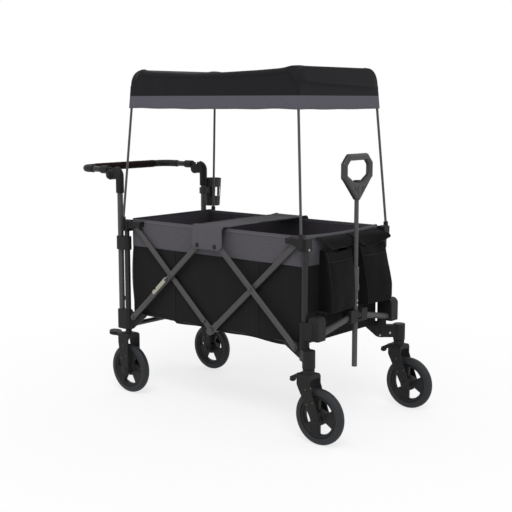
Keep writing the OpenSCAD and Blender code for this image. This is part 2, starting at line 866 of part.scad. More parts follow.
module scissor_arm_1() {
    hook_face = y_out1 + head_gap;
    color(arm_grey) {
        scissor_pair(false, true, y_out0, y_out1 - lap_t, run_gap);
        on_arm(false, true) {
            both_sides() {
                translate([arm_len / 2, 0, 0]) crossing_rivet();
                translate([arm_len, 0, 0]) rivet(y_out0, y_out1, head_d, head_t);
            }
            mirror([0, 1, 0]) {
                translate([arm_len / 2 - hook_back, 0, 0]) {
                    pin_y(hook_pin_d, y_out1, hook_face + hook_t + head_gap + head_t);
                    pin_y(hook_pin_head, hook_face + hook_t + head_gap, hook_face + hook_t + head_gap + head_t);
                }
                translate([arm_len / 2 - stud_back, 0, -hook_w / 2 - stud_d / 2 + arm_w / 8])
                    pin_y(stud_d, y_out1, hook_face + hook_t);
            }
        }
    }
}

module scissor_arm_2() {
    color(arm_grey) {
        scissor_pair(false, false, y_in0, y_in0, run_gap);
        on_arm(false, false) both_sides() translate([arm_len, 0, 0]) rivet(y_in0, y_in1, knuckle_d, knuckle_t);
    }
}

module scissor_arm_3() {
    color(arm_grey) {
        scissor_pair(true, true, y_out0, y_out0, run_gap);
        on_arm(true, true) both_sides() translate([arm_len / 2, 0, 0]) crossing_rivet();
    }
}

module scissor_arm_4() {
    color(arm_grey) scissor_pair(true, false, y_in0, y_in1 - lap_t, open_gap);
}

module centre_crossbar() {
    color(frame_grey) wagon() translate([0, 0, pivot_low]) difference() {
        pin_y(centre_bar_d, -y_inner_head, y_inner_head);
        pin_y(centre_bar_d - 2 * tube_wall, -post_gauge, post_gauge);
    }
}

module fold_hook() {
    y0 = y_out1 + head_gap;
    color(bare_metal) on_arm(false, true) mirror([0, 1, 0]) translate([arm_len / 2 - hook_back, 0, 0])
        slab_y(y0, y0 + hook_t) translate([0, arm_w / 8]) difference() {
            strip(-hook_len + hook_w / 2, hook_w);
            translate([0, -arm_w / 8]) circle(d = hook_pin_d + 2 * run_gap);
            translate([-hook_len + 1.5 * hook_w, hook_w / 2]) circle(d = hook_notch);
        }
}

// Upper frame

// Axis of a canopy hoop's left leg, with z = 0 at the mouth of its socket
module hoop_leg() {
    translate([-hoop_x, hoop_y, bend_z]) rotate([0, hoop_lean, 0]) rotate([hoop_tilt, 0, 0]) children();
}

module top_bracket() {
    pin_x = pivot_inset - hx;
    difference() {
        union() {
            translate([-hx - bracket_w / 2, hy - bracket_w / 2, bracket_low])
                cube([bracket_w, bracket_w, bracket_high - bracket_low]);
            hoop_leg() translate([0, 0, socket_low - bend_z]) cylinder(r = socket_r, h = socket_high - socket_low);
            translate([pin_x, 0, pivot_high]) {
                slab_y(ear0, ear1) strip(-pivot_inset + post_d / 4, 2 * ear_r);
                pin_y(pivot_pin_d, y_inner_head, ear1);
                pin_y(head_d, y_inner_head, y_inner_head + head_t);
            }
            slab_y(ear0, ear1) translate([pin_x, clip_low]) square([clip_reach, clip_h]);
            slab_y(side_y + face_gap, ear1) translate([pin_x + clip_reach - clip_w, clip_low])
                square([clip_w, clip_h]);
        }
        translate([-hx, hy, bracket_low - beyond])
            cylinder(d = inner_post_d + 2 * seat_gap, h = inner_post_high + seat_gap - bracket_low + beyond);
        hoop_leg() translate([0, 0, socket_high - bend_z - socket_depth])
            cylinder(d = hoop_d + 2 * seat_gap, h = socket_depth + beyond);
    }
}

module inner_tube() {
    translate([-hx, hy, inner_post_low]) pipe(inner_post_d, tube_wall, inner_post_high - inner_post_low);
}

// Canopy hoop at the rear: two legs that lean in, joined over the top by sleeved corners
module hoop() {
    foot = socket_high - bend_z - socket_depth + seat_gap;
    leg = leg_w / cos(hoop_tilt);
    both_sides() hoop_leg() {
        translate([0, 0, foot]) cylinder(d = hoop_d, h = leg - joint_gap - foot);
        translate([0, 0, leg - joint_len / 2]) cylinder(d = hoop_d + joint_wall, h = joint_len);
    }
    translate([-hoop_x, 0, bend_z]) rotate([0, hoop_lean, 0]) {
        both_sides() {
            translate([0, arc_y, arc_w]) rotate([90, 0, 90]) rotate(hoop_tilt + joint_turn)
                rotate_extrude(angle = 90 - hoop_tilt - 2 * joint_turn) translate([hoop_bend, 0]) circle(d = hoop_d);
            translate([0, 0, hoop_top]) pin_y(hoop_d + joint_wall, arc_y - joint_len / 2, arc_y + joint_len / 2);
        }
        translate([0, 0, hoop_top]) pin_y(hoop_d, joint_gap - arc_y, arc_y - joint_gap);
    }
}

module rear_top_brackets() { color(plastic_black) wagon() both_sides() top_bracket(); }
module rear_inner_tubes() { color(frame_grey) wagon() both_sides() inner_tube(); }
module rear_canopy_hoop() { color(frame_grey) wagon() hoop(); }
module front_top_brackets() { color(plastic_black) wagon() at_front(true) both_sides() top_bracket(); }
module front_inner_tubes() { color(frame_grey) wagon() at_front(true) both_sides() inner_tube(); }
module front_canopy_hoop() { color(frame_grey) wagon() at_front(true) hoop(); }

// Basket

module end_wall() {
    translate([-wall_x, -wall_y, floor_low]) cube([cloth_t, 2 * wall_y, rim_z - floor_low]);
}

module basket_rear_wall() { color(cloth_black) wagon() end_wall(); }
module basket_front_wall() { color(cloth_black) wagon() at_front(true) end_wall(); }

module basket_side(right) {
    len = wall_x - cloth_t - face_gap;
    color(cloth_grey) wagon() on_right(right) translate([-len, side_y - cloth_t, floor_low])
        cube([2 * len, cloth_t, rim_z - floor_low]);
}

module basket_floor() {
    len = wall_x - cloth_t - face_gap;
    half = side_y - cloth_t - face_gap;
    color(cloth_black) wagon() translate([-len, -half, floor_low]) cube([2 * len, 2 * half, cloth_t]);
}

// Height of the strap's upper face at y, sagging between the two sides
function strap_top(y) = strap_z - strap_sag * (1 - pow(y / strap_y, 2));

module bridge_strap() {
    ys = [for (i = [0 : strap_steps]) strap_y * (2 * i / strap_steps - 1)];
    over = strap_y + strap_t;
    low = strap_z - strap_drop;
    upper = [for (y = ys) [y, strap_top(y)]];
    lower = [for (i = [strap_steps : -1 : 0]) [ys[i], strap_top(ys[i]) - strap_t]];
    color(cloth_grey) wagon() translate([-strap_w / 2, 0, 0]) rotate([90, 0, 90]) linear_extrude(strap_w)
        polygon(concat([[-over, low]], [[-over, strap_z]], upper, [[over, strap_z], [over, low], [strap_y, low]],
                       lower, [[-strap_y, low]]));
}

// Side outline of a front pocket, set in by the wall
module pocket_outline(inset, mouth) {
    deep = pocket_depth - inset;
    tall = pocket_high - pocket_low;
    polygon([[inset, pocket_low + inset], [deep * 0.4, pocket_low + inset], [deep * 0.85, pocket_low + tall * 0.2],
             [deep, pocket_low + tall * 0.5], [deep * 0.86, pocket_low + tall * 0.88], [deep * 0.7, mouth],
             [inset, mouth]]);
}

module front_pockets() {
    color(cloth_black) wagon() both_sides() translate([wall_x, 0, 0]) difference() {
        slab_y(pocket_in, pocket_out) pocket_outline(0, pocket_high);
        slab_y(pocket_in + pocket_wall, pocket_out - pocket_wall)
            pocket_outline(pocket_wall, pocket_high + beyond);
    }
}

module pocket_flap(right) {
    color(cloth_black) wagon() on_right(right) translate([wall_x + face_gap, 0, rim_z])
        slab_y(pocket_in, pocket_out) intersection() {
            rotate(-flap_angle) translate([-flap_len, -flap_t]) square([2 * flap_len, flap_t]);
            translate([0, -flap_len]) square([flap_len, flap_len]);
        }
}

// Canopy: rings of points from the hem over the shoulders to the middle of the roof

function lean_in(z) = (z - hem_z) * tan(hoop_lean);
function tilt_in(z) = (z - hem_z) * tan(hoop_tilt);
function mix(p, q, f) = p + (q - p) * f;
function corner_point(c, k, a, b, r) =
    let (sx = (c == 0 || c == 3) ? 1 : -1, sy = c < 2 ? 1 : -1, t = 90 * (c + k / corner_steps))
    [sx * (a - r) + r * cos(t), sy * (b - r) + r * sin(t)];
// Round-cornered outline, a by b half size, with points along its sides
function ring(a, b, r) = [
    for (c = [0 : 3]) each concat(
        [for (k = [0 : corner_steps]) corner_point(c, k, a, b, r)],
        [for (k = [1 : side_steps - 1])
            mix(corner_point(c, corner_steps, a, b, r), corner_point((c + 1) % 4, 0, a, b, r), k / side_steps)])
];
// One ring at height z, where sag grows from the hoops to the middle of the length
function sheet_ring(a, b, r, z, sag) = [
    for (p = ring(a, b, r)) [p[0], p[1], z - sag * max(0, 1 - pow(p[0] / sag_x, 2))]
];
// The cloth's face, set in by the given amount
function canopy_rings(inset) =
    let (r = canopy_corner, top_a = hem_x - lean_in(canopy_z) - end_round - inset, top_b = arc_y)
    concat(
        [for (z = [hem_z, mix(hem_z, shoulder_z, 0.5)])
            sheet_ring(hem_x - lean_in(z) - inset, hem_y - tilt_in(z) - inset, r - inset, z, 0)],
        [for (k = [0 : shoulder_steps]) let (t = 90 * k / shoulder_steps, reach = shoulder_r - inset,
                z = shoulder_z + (canopy_z - shoulder_z - inset) * sin(t))
            sheet_ring(hem_x - lean_in(z) - (k == shoulder_steps ? end_round : 0) - inset,
                arc_y + reach * cos(t), r - inset, z, canopy_sag * (1 - cos(t)))],
        [for (s = roof_shares) sheet_ring(top_a * s, top_b * s, r * s, canopy_z - inset, canopy_sag)]);

module canopy() {
    outer = canopy_rings(0);
    inner = canopy_rings(cloth_t);
    rows = len(outer);
    inside = rows * ring_n;
    apex = 2 * inside;
    last = (rows - 1) * ring_n;
    points = concat([for (p = outer) each p], [for (p = inner) each p],
        [[0, 0, canopy_z - canopy_sag], [0, 0, canopy_z - cloth_t - canopy_sag]]);
    faces = [
        for (i = [0 : ring_n - 1]) let (j = (i + 1) % ring_n) each concat(
            [for (k = [0 : rows - 2]) let (a = k * ring_n + i, b = k * ring_n + j)
                each [[a, a + ring_n, b + ring_n], [a, b + ring_n, b],
                      [inside + a, inside + b + ring_n, inside + a + ring_n],
                      [inside + a, inside + b, inside + b + ring_n]]],
            [[last + i, apex, last + j], [inside + last + i, inside + last + j, apex + 1],
             [i, j, inside + j], [i, inside + j, inside + i]])
    ];
    color(canopy_black) wagon() polyhedron(points, faces);
}

// Front frame

module crossbar_bar(d, ahead) {
    reach = norm([bar_y_end - bar_y_hub, bar_z_end - bar_z_hub]) + 2 * ahead;
    translate([hub_x, bar_y_hub, bar_z_hub]) rotate([bar_tilt - 90, 0, 0]) translate([0, 0, -ahead])
        cylinder(d = d, h = reach);
}

module front_housing() {
    difference() {
        union() {
            translate([hx, hy, front_house_low]) cylinder(r = house_r, h = collar_high - front_house_low);
            translate([hx + stem_fwd, hy + stem_out, boss_low]) cylinder(r = boss_r, h = boss_high - boss_low);
            translate([hx, hy, front_house_low]) rotate(atan2(stem_out, stem_fwd)) translate([0, -web_w / 2, 0])
                cube([norm([stem_out, stem_fwd]), web_w, boss_high - 4 - front_house_low]);
            translate([hx, hy - web_w / 2, collar_low]) cube([hub_fwd, web_w, collar_high - collar_low]);
            translate([hub_x, 0, 0]) slab_y(hy - knuckle_in, hy + knuckle_out) {
                translate([0, knuckle_high - knuckle_fwd / 2]) circle(d = knuckle_fwd);
                translate([-knuckle_fwd / 2, collar_low])
                    square([knuckle_fwd, knuckle_high - knuckle_fwd / 2 - collar_low]);
            }
            mirror([1, 0, 0]) pivot_ear(y_in0, front_house_low);
        }
        translate([hx, hy, front_post_low]) cylinder(d = post_d + 2 * seat_gap, h = collar_high);
        translate([hx + stem_fwd, hy + stem_out, boss_low - beyond])
            cylinder(d = stem_d + 2 * run_gap, h = stem_top - boss_low + beyond);
        crossbar_bar(bar_d + 2 * seat_gap, seat_gap);
    }
}

module front_housings() { color(plastic_black) wagon() both_sides() front_housing(); }

module front_posts() { color(frame_grey) wagon() both_sides() translate([hx, hy, 0]) capped_post(front_post_low); }

module front_crossbar() {
    color(arm_grey) wagon() both_sides() difference() {
        crossbar_bar(bar_d, 0);
        crossbar_bar(bar_d - 2 * tube_wall, beyond);
    }
}

module pull_hub() {
    half = hub_depth / 2;
    color(plastic_black) wagon() {
        difference() {
            translate([hub_x, 0, hub_z]) {
                both_sides() slab_y(cheek_y, hub_w / 2) square([hub_depth, hub_h], center = true);
                slab_y(-cheek_y - lap, cheek_y + lap) {
                    translate([-half, hub_h / 2 - hub_bridge_h]) square([hub_bridge, hub_bridge_h]);
                    translate([half - hub_bridge, -hub_h / 2]) square([hub_bridge, hub_bridge_h]);
                }
            }
            translate([hub_x, 0, hub_z]) pin_y(hub_pin_d + 2 * run_gap, -cheek_y - hub_pin_len, cheek_y + hub_pin_len);
            both_sides() crossbar_bar(bar_d + 2 * seat_gap, seat_gap);
        }
    }
}

// Pull handle

module pull_trunnion() {
    reach = cheek_y + hub_pin_len - face_gap;
    color(plastic_black) wagon() translate([hub_x, 0, hub_z]) difference() {
        union() {
            pin_y(2 * trunnion_r, -trunnion_w / 2, trunnion_w / 2);
            pin_y(hub_pin_d, -reach, reach);
        }
        translate([0, 0, -hub_h]) cylinder(d = pole_d + 2 * run_gap, h = 2 * hub_h);
    }
}

module pull_outer_tube() {
    color(frame_grey) wagon() translate([hub_x, 0, 0]) {
        translate([0, 0, pole_low]) pipe(pole_d, pole_wall, pole_top - pole_low);
        translate([0, 0, pole_low]) cylinder(d = pole_d, h = pole_plug);
        translate([0, 0, collar_z]) pipe(collar_d, (collar_d - pole_d) / 2 + pole_wall, collar_h);
        translate([0, 0, collar_z + collar_h - lap])
            pipe(pole_sleeve_d, (pole_sleeve_d - pole_d) / 2 + pole_wall, pole_top - collar_z - collar_h + lap);
    }
}

module pull_inner_tube() {
    color(frame_grey) wagon() translate([hub_x, 0, inner_pole_low])
        pipe(inner_pole_d, inner_pole_wall, neck_low + neck_socket - inner_pole_low);
}

module pull_grip() {
    top = loop_low + loop_h;
    half = loop_w / 2;
    side_low = top - loop_shoulder - loop_side;
    loop = [[-half + loop_shoulder, top], [half - loop_shoulder, top], [half, top - loop_shoulder],
            [half, side_low], [loop_foot / 2, loop_low], [-loop_foot / 2, loop_low], [-half, side_low],
            [-half, top - loop_shoulder]];
    color(plastic_black) wagon() translate([hub_x, 0, 0]) difference() {
        union() {
            for (i = [0 : len(loop) - 1]) {
                bar_yz(loop[i], loop[(i + 1) % len(loop)], loop_d);
                translate([0, loop[i][0], loop[i][1]]) sphere(d = loop_d * 1.02);
            }
            translate([0, 0, neck_low]) cylinder(d = neck_d, h = loop_low - neck_low);
            translate([-neck_web / 2, 0, 0]) rotate([90, 0, 90]) linear_extrude(neck_web)
                polygon([[-loop_foot / 2, loop_low], [-neck_web / 2, loop_low - neck_flare],
                         [neck_web / 2, loop_low - neck_flare], [loop_foot / 2, loop_low]]);
        }
        translate([0, 0, neck_low - beyond])
            cylinder(d = inner_pole_d + 2 * seat_gap, h = neck_socket + beyond + seat_gap);
        translate([-tab_depth / 2 - face_gap, -tab_w / 2 - face_gap, loop_low + loop_d / 2 + tab_rise - tab_h
                   - tab_travel - face_gap])
            cube([tab_depth + 2 * face_gap, tab_w + 2 * face_gap, loop_d]);
    }
}

module grip_button() {
    color(frame_grey) wagon() translate([hub_x - tab_depth / 2, -tab_w / 2, loop_low + loop_d / 2 + tab_rise - tab_h])
        cube([tab_depth, tab_w, tab_h]);
}

rear_housings();
rear_posts();
rear_crossbar();
push_uprights();
upright_bands();
elbow_sockets();
cup_holder();
rear_forks();
rear_wheel(true);  // rear_wheel_right
rear_tyre(true);  // rear_tyre_right
rear_wheel(false);  // rear_wheel_left
rear_tyre(false);  // rear_tyre_left
brake_pedal(true);  // brake_pedal_right
brake_pedal(false);  // brake_pedal_left
handle_elbows();
handle_bar();
handle_sleeves();
handle_grip();
elbow_button(true);  // elbow_button_right
elbow_button(false);  // elbow_button_left
scissor_arm_1();
scissor_arm_2();
scissor_arm_3();
scissor_arm_4();
centre_crossbar();
fold_hook();
rear_top_brackets();
rear_inner_tubes();
rear_canopy_hoop();
basket_rear_wall();
basket_side(true);  // basket_side_right
basket_side(false);  // basket_side_left
basket_floor();
bridge_strap();
canopy();
front_top_brackets();
front_inner_tubes();
front_canopy_hoop();
basket_front_wall();
front_pockets();
pocket_flap(true);  // pocket_flap_right
pocket_flap(false);  // pocket_flap_left
front_housings();
front_posts();
front_crossbar();
pull_hub();
caster_fork(true);  // caster_fork_right
caster_fork(false);  // caster_fork_left
front_wheel(true);  // front_wheel_right
front_tyre(true);  // front_tyre_right
front_wheel(false);  // front_wheel_left
front_tyre(false);  // front_tyre_left
swivel_lock(true);  // swivel_lock_right
swivel_lock(false);  // swivel_lock_left
pull_trunnion();
pull_outer_tube();
pull_inner_tube();
pull_grip();
grip_button();
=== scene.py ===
"""Looks of a folding stroller wagon: cloth, mouldings, tyres and trim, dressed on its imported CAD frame.

Lengths are metres in the frame's own axes: +X to the pull handle, +Y to the wagon's left side, +Z up.
"""

import json
import logging
import math
from contextlib import contextmanager
from dataclasses import dataclass
from enum import Enum
from typing import Callable, Iterator, Sequence

import bpy
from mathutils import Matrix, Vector, noise

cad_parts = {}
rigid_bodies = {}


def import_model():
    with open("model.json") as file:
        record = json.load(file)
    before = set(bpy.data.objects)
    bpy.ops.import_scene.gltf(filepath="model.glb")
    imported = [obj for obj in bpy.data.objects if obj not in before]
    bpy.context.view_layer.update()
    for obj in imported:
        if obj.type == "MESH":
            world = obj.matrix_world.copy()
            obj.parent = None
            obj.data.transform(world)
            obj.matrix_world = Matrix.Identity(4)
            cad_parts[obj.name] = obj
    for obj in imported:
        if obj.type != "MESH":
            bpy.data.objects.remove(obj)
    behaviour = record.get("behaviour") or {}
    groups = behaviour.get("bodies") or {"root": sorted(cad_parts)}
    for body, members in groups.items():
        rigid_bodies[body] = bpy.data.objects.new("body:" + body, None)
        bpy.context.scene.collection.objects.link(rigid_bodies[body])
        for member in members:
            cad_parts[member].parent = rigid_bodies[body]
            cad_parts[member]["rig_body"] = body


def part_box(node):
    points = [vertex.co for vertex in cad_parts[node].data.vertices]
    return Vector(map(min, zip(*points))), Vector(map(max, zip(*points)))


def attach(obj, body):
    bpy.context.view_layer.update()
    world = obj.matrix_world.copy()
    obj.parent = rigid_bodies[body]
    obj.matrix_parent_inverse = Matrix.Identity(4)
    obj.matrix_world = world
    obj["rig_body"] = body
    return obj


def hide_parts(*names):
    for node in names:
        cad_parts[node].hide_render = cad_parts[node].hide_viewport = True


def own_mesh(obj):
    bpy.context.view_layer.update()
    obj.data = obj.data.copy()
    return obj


logging.basicConfig(level=logging.INFO, format="%(message)s")
LOG = logging.getLogger("stroller_wagon")
MM = 0.001
FOLD_KEEP = 0.439
WAVE_BAND = 0.31416  # scale at which the wave texture draws one band per unit
Place = Callable[[float, float], Vector]
Choose = Callable[[Vector], int]
Spots = Sequence[tuple[Vector, Vector]]
Piece, Tree = bpy.types.Object, bpy.types.NodeTree
Node, Socket = bpy.types.Node, bpy.types.NodeSocket


class Half(Enum):
    """One of two opposite parts of the wagon, with the sign of its axis."""

    @property
    def label(self) -> str:
        """Name as the nodes write it."""
        return self.name.lower()


class Side(Half):
    """The wagon's long sides, each with the sign of its Y."""

    RIGHT = -1
    LEFT = 1

    @property
    def out(self) -> Vector:
        """Direction away from the wagon."""
        return Vector((0, self.value, 0))


class End(Half):
    """The wagon's ends, each with the sign of its X."""

    REAR = -1
    FRONT = 1

    @property
    def out(self) -> Vector:
        """Direction away from the wagon."""
        return Vector((self.value, 0, 0))

    @property
    def top_body(self) -> str:
        """Body that the cloth of this end rides on."""
        return f"{self.label}_top"


class Grit(Enum):
    """Steps that a moulding's surface is rebuilt from, by the size of the piece."""

    LARGE = 1.6 * MM
    MIDDLE = 1.4 * MM
    SMALL = 1.2 * MM
    LEVER = 1.0 * MM
    BUTTON = 0.8 * MM


def linear(code: str) -> tuple[float, float, float, float]:
    """Turns an sRGB hex colour to linear light.

    Args:
        code: Colour as "#rrggbb".

    Returns:
        Red, green and blue in linear light, and an alpha of 1.
    """
    parts = [int(code[k:k + 2], 16) / 255 for k in (1, 3, 5)]
    light = [c / 12.92 if c <= 0.04045 else ((c + 0.055) / 1.055) ** 2.4 for c in parts]
    return (*light, 1.0)


def shade(code: str, share: float) -> tuple[float, float, float, float]:
    """Gives a colour in linear light, made darker or lighter by a share of itself."""
    red, green, blue, alpha = linear(code)
    return (min(1, red * share), min(1, green * share), min(1, blue * share), alpha)


def add_node(tree: Tree, kind: str, inputs: dict | None = None, **settings: object) -> Node:
    """Adds a node with its settings, input values and links.

    Args:
        tree: Node tree that gets the node.
        kind: Type name of the shader node, without its prefix.
        inputs: Socket name or number, to a value or to the output socket that feeds it.
        settings: Properties of the node.

    Returns:
        The new node.
    """
    node = tree.nodes.new(f"ShaderNode{kind}")
    for name, value in settings.items():
        setattr(node, name, value)
    for key, value in (inputs or {}).items():
        if isinstance(value, Socket):
            tree.links.new(value, node.inputs[key])
        else:
            node.inputs[key].default_value = value
    return node


def set_inputs(node: Node, values: dict) -> None:
    """Sets input values of a node by the names of their sockets."""
    for name, value in values.items():
        node.inputs[name].default_value = value


@dataclass(frozen=True)
class Finish:
    """A surface finish; its kinds add what the eye sees of the real material."""

    name: str
    slot: str
    colour: str
    roughness: float
    gloss: float = 0.3

    def material(self) -> bpy.types.Material:
        """Makes the material at its first use.

        Returns:
            The finish as a Blender material.
        """
        made = bpy.data.materials.get(self.name)
        if made is None:
            made = bpy.data.materials.new(self.name)
            made.use_nodes = True
            shader = made.node_tree.nodes["Principled BSDF"]
            set_inputs(shader, {"Roughness": self.roughness, "Specular IOR Level": self.gloss})
            self.dress(made.node_tree, shader)
        return made

    def dress(self, tree: Tree, shader: Node) -> None:
        """Adds the nodes of this kind of finish."""
        raise NotImplementedError

    def tint(self, tree: Tree, shader: Node, factor: Socket, dark: float, light: float) -> None:
        """Lets the base colour vary between two shades.

        Args:
            tree: Node tree of the material.
            shader: Its Principled shader.
            factor: Socket from 0, dark, to 1, light.
            dark: Share of the colour at 0.
            light: Share of the colour at 1.
        """
        shades = {6: shade(self.colour, dark), 7: shade(self.colour, light)}
        mix = add_node(tree, "Mix", {0: factor, **shades}, data_type="RGBA")
        tree.links.new(mix.outputs[2], shader.inputs["Base Color"])

    def rough(self, tree: Tree, shader: Node, factor: Socket, spread: float) -> None:
        """Lets the roughness vary by a spread about its own value.

        Args:
            tree: Node tree of the material.
            shader: Its Principled shader.
            factor: Socket from 0, smooth, to 1, rough.
            spread: How far it varies either way.
        """
        ends = {"To Min": self.roughness - spread, "To Max": self.roughness + spread}
        span = add_node(tree, "MapRange", {"Value": factor, **ends})
        tree.links.new(span.outputs["Result"], shader.inputs["Roughness"])

    def relief(self, tree: Tree, shader: Node, height: Socket, depth: float, strength: float) -> None:
        """Puts a height pattern on the surface, depth metres deep.

        Args:
            tree: Node tree of the material.
            shader: Its Principled shader.
            height: Socket with the pattern.
            depth: Depth of the pattern.
            strength: Share of that depth that shows.
        """
        bump = add_node(tree, "Bump", {"Height": height, "Distance": depth, "Strength": strength})
        tree.links.new(bump.outputs["Normal"], shader.inputs["Normal"])


@dataclass(frozen=True)
class PowderCoat(Finish):
    """Polyester powder coat on steel tube, baked: satin, with a soft orange peel and faint mottling."""

    mottle_mm: float = 40.0
    peel_mm: float = 2.5  # real orange peel is about 1 mm; drawn coarser so that it shows

    def dress(self, tree: Tree, shader: Node) -> None:
        """Adds the mottling and the orange peel.

        Args:
            tree: Node tree of the material.
            shader: Its Principled shader.
        """
        place = add_node(tree, "TexCoord").outputs["Object"]
        mottle = add_node(tree, "TexNoise",
                          {"Vector": place, "Scale": 1 / (self.mottle_mm * MM), "Detail": 3.0})
        peel = add_node(tree, "TexNoise", {"Vector": place, "Scale": 1 / (self.peel_mm * MM), "Detail": 1.0})
        self.tint(tree, shader, mottle.outputs["Fac"], 0.86, 1.14)
        self.rough(tree, shader, mottle.outputs["Fac"], 0.09)
        self.relief(tree, shader, peel.outputs["Fac"], 0.1 * MM, 0.15)
        set_inputs(shader, {"Coat Weight": 0.05, "Coat Roughness": 0.3})


@dataclass(frozen=True)
class MouldedNylon(Finish):
    """Glass-filled nylon, moulded in an eroded tool: matt, with a fine grain and rubbed patches."""

    gloss: float = 0.2
    rub_mm: float = 25.0
    grain_mm: float = 1.6  # real grain is about 0.4 mm; drawn coarser so that it shows
    grain: float = 0.3

    def dress(self, tree: Tree, shader: Node) -> None:
        """Adds the tool's grain and the rubbed patches.

        Args:
            tree: Node tree of the material.
            shader: Its Principled shader.
        """
        place = add_node(tree, "TexCoord").outputs["Object"]
        rub = add_node(tree, "TexNoise", {"Vector": place, "Scale": 1 / (self.rub_mm * MM), "Detail": 5.0})
        grain = add_node(tree, "TexVoronoi", {"Vector": place, "Scale": 1 / (self.grain_mm * MM)})
        self.tint(tree, shader, rub.outputs["Fac"], 0.75, 1.3)
        self.rough(tree, shader, rub.outputs["Fac"], 0.12)
        self.relief(tree, shader, grain.outputs["Distance"], 0.3 * MM, self.grain)


@dataclass(frozen=True)
class FoamTyre(Finish):
    """Foamed polyurethane or EVA tyre, moulded: matt, slightly pitted, with floor dust rubbed in."""

    gloss: float = 0.25
    dust_mm: float = 15.0
    pit_mm: float = 2.2  # real pits are under 1 mm; drawn coarser so that they show

    def dress(self, tree: Tree, shader: Node) -> None:
        """Adds pits and a film of dust in patches.

        Args:
            tree: Node tree of the material.
            shader: Its Principled shader.
        """
        place = add_node(tree, "TexCoord").outputs["Object"]
        dust = add_node(tree, "TexNoise", {"Vector": place, "Scale": 1 / (self.dust_mm * MM), "Detail": 6.0})
        pits = add_node(tree, "TexNoise", {"Vector": place, "Scale": 1 / (self.pit_mm * MM), "Detail": 4.0})
        self.tint(tree, shader, dust.outputs["Fac"], 0.7, 1.35)
        self.rough(tree, shader, dust.outputs["Fac"], 0.08)
        self.relief(tree, shader, pits.outputs["Fac"], 0.35 * MM, 0.4)


@dataclass(frozen=True)
class WovenCloth(Finish):
    """600-denier polyester in plain weave, coated on its back: dull, with slubs and a low sheen."""

    gloss: float = 0.1
    thread_mm: float = 2.4  # real threads lie 0.6 mm apart; drawn coarser so that the weave shows
    slub_mm: tuple[float, float] = (18.0, 3.0)
    slub: float = 0.12
    weave: float = 0.12
    sheen: float = 0.04
    seams: tuple[float, ...] = ()
    seam_axis: int = 1
    seam_colour: str = "#6d6a72"
    stitch: float = 8 * MM
    drawn: float = 0.62
    thread_r: float = 0.8 * MM

    def dress(self, tree: Tree, shader: Node) -> None:
        """Adds the weave and its slubs, along the UV map in metres, and stitch rows at the seams.

        Args:
            tree: Node tree of the material.
            shader: Its Principled shader.
        """
        cloth = add_node(tree, "TexCoord").outputs["UV"]
        turns = WAVE_BAND / (self.thread_mm * MM)
        warp, weft = (add_node(tree, "TexWave", {"Vector": cloth, "Scale": turns, "Distortion": 0.4},
                               bands_direction=axis).outputs["Fac"] for axis in ("X", "Y"))
        under = add_node(tree, "Math", {0: weft, 1: 2.0, 2: -1.0}, operation="MULTIPLY_ADD")
        over = add_node(tree, "Math", {0: 1.0, 1: weft}, operation="SUBTRACT")
        weave = add_node(tree, "Math", {0: warp, 1: under.outputs[0], 2: over.outputs[0]},
                         operation="MULTIPLY_ADD")
        stretch = (*(1 / (size * MM) for size in self.slub_mm), 1.0)
        long = add_node(tree, "Mapping", {"Vector": cloth, "Scale": stretch})
        slubs = add_node(tree, "TexNoise", {"Vector": long.outputs[0], "Scale": 1.0, "Detail": 2.0})
        spread = self.weave + self.slub
        both = add_node(tree, "Mix", {0: self.weave / spread, 2: slubs.outputs["Fac"], 3: weave.outputs[0]})
        self.tint(tree, shader, both.outputs[0], 1 - spread, 1 + spread)
        self.rough(tree, shader, slubs.outputs["Fac"], 0.06)
        self.relief(tree, shader, weave.outputs[0], 0.3 * MM, 0.3)
        set_inputs(shader, {"Sheen Weight": self.sheen, "Sheen Roughness": 0.45})
        if self.seams:
            self.sew(tree, shader, cloth)

    def sew(self, tree: Tree, shader: Node, cloth: Socket) -> None:
        """Draws dashed stitch rows at the places of the seams.

        Args:
            tree: Node tree of the material.
            shader: Its Principled shader.
            cloth: UV coordinates in metres.
        """
        axes = add_node(tree, "SeparateXYZ", {0: cloth})
        along, across = axes.outputs[1 - self.seam_axis], axes.outputs[self.seam_axis]
        pitch = add_node(tree, "Math", {0: along, 1: 1 / self.stitch}, operation="MULTIPLY")
        turn = add_node(tree, "Math", {0: pitch.outputs[0]}, operation="FRACT")
        dashes = add_node(tree, "Math", {0: turn.outputs[0], 1: self.drawn}, operation="LESS_THAN")
        rows = 0.0
        for seam in self.seams:
            row = add_node(tree, "Math", {0: across, 1: seam, 2: self.thread_r}, operation="COMPARE")
            rows = add_node(tree, "Math", {0: rows, 1: row.outputs[0]}, operation="MAXIMUM").outputs[0]
        thread = add_node(tree, "Math", {0: rows, 1: dashes.outputs[0]}, operation="MULTIPLY")
        before = shader.inputs["Base Color"].links[0].from_socket
        mix = add_node(tree, "Mix", {0: thread.outputs[0], 6: before, 7: linear(self.seam_colour)},
                       data_type="RGBA")
        tree.links.new(mix.outputs[2], shader.inputs["Base Color"])


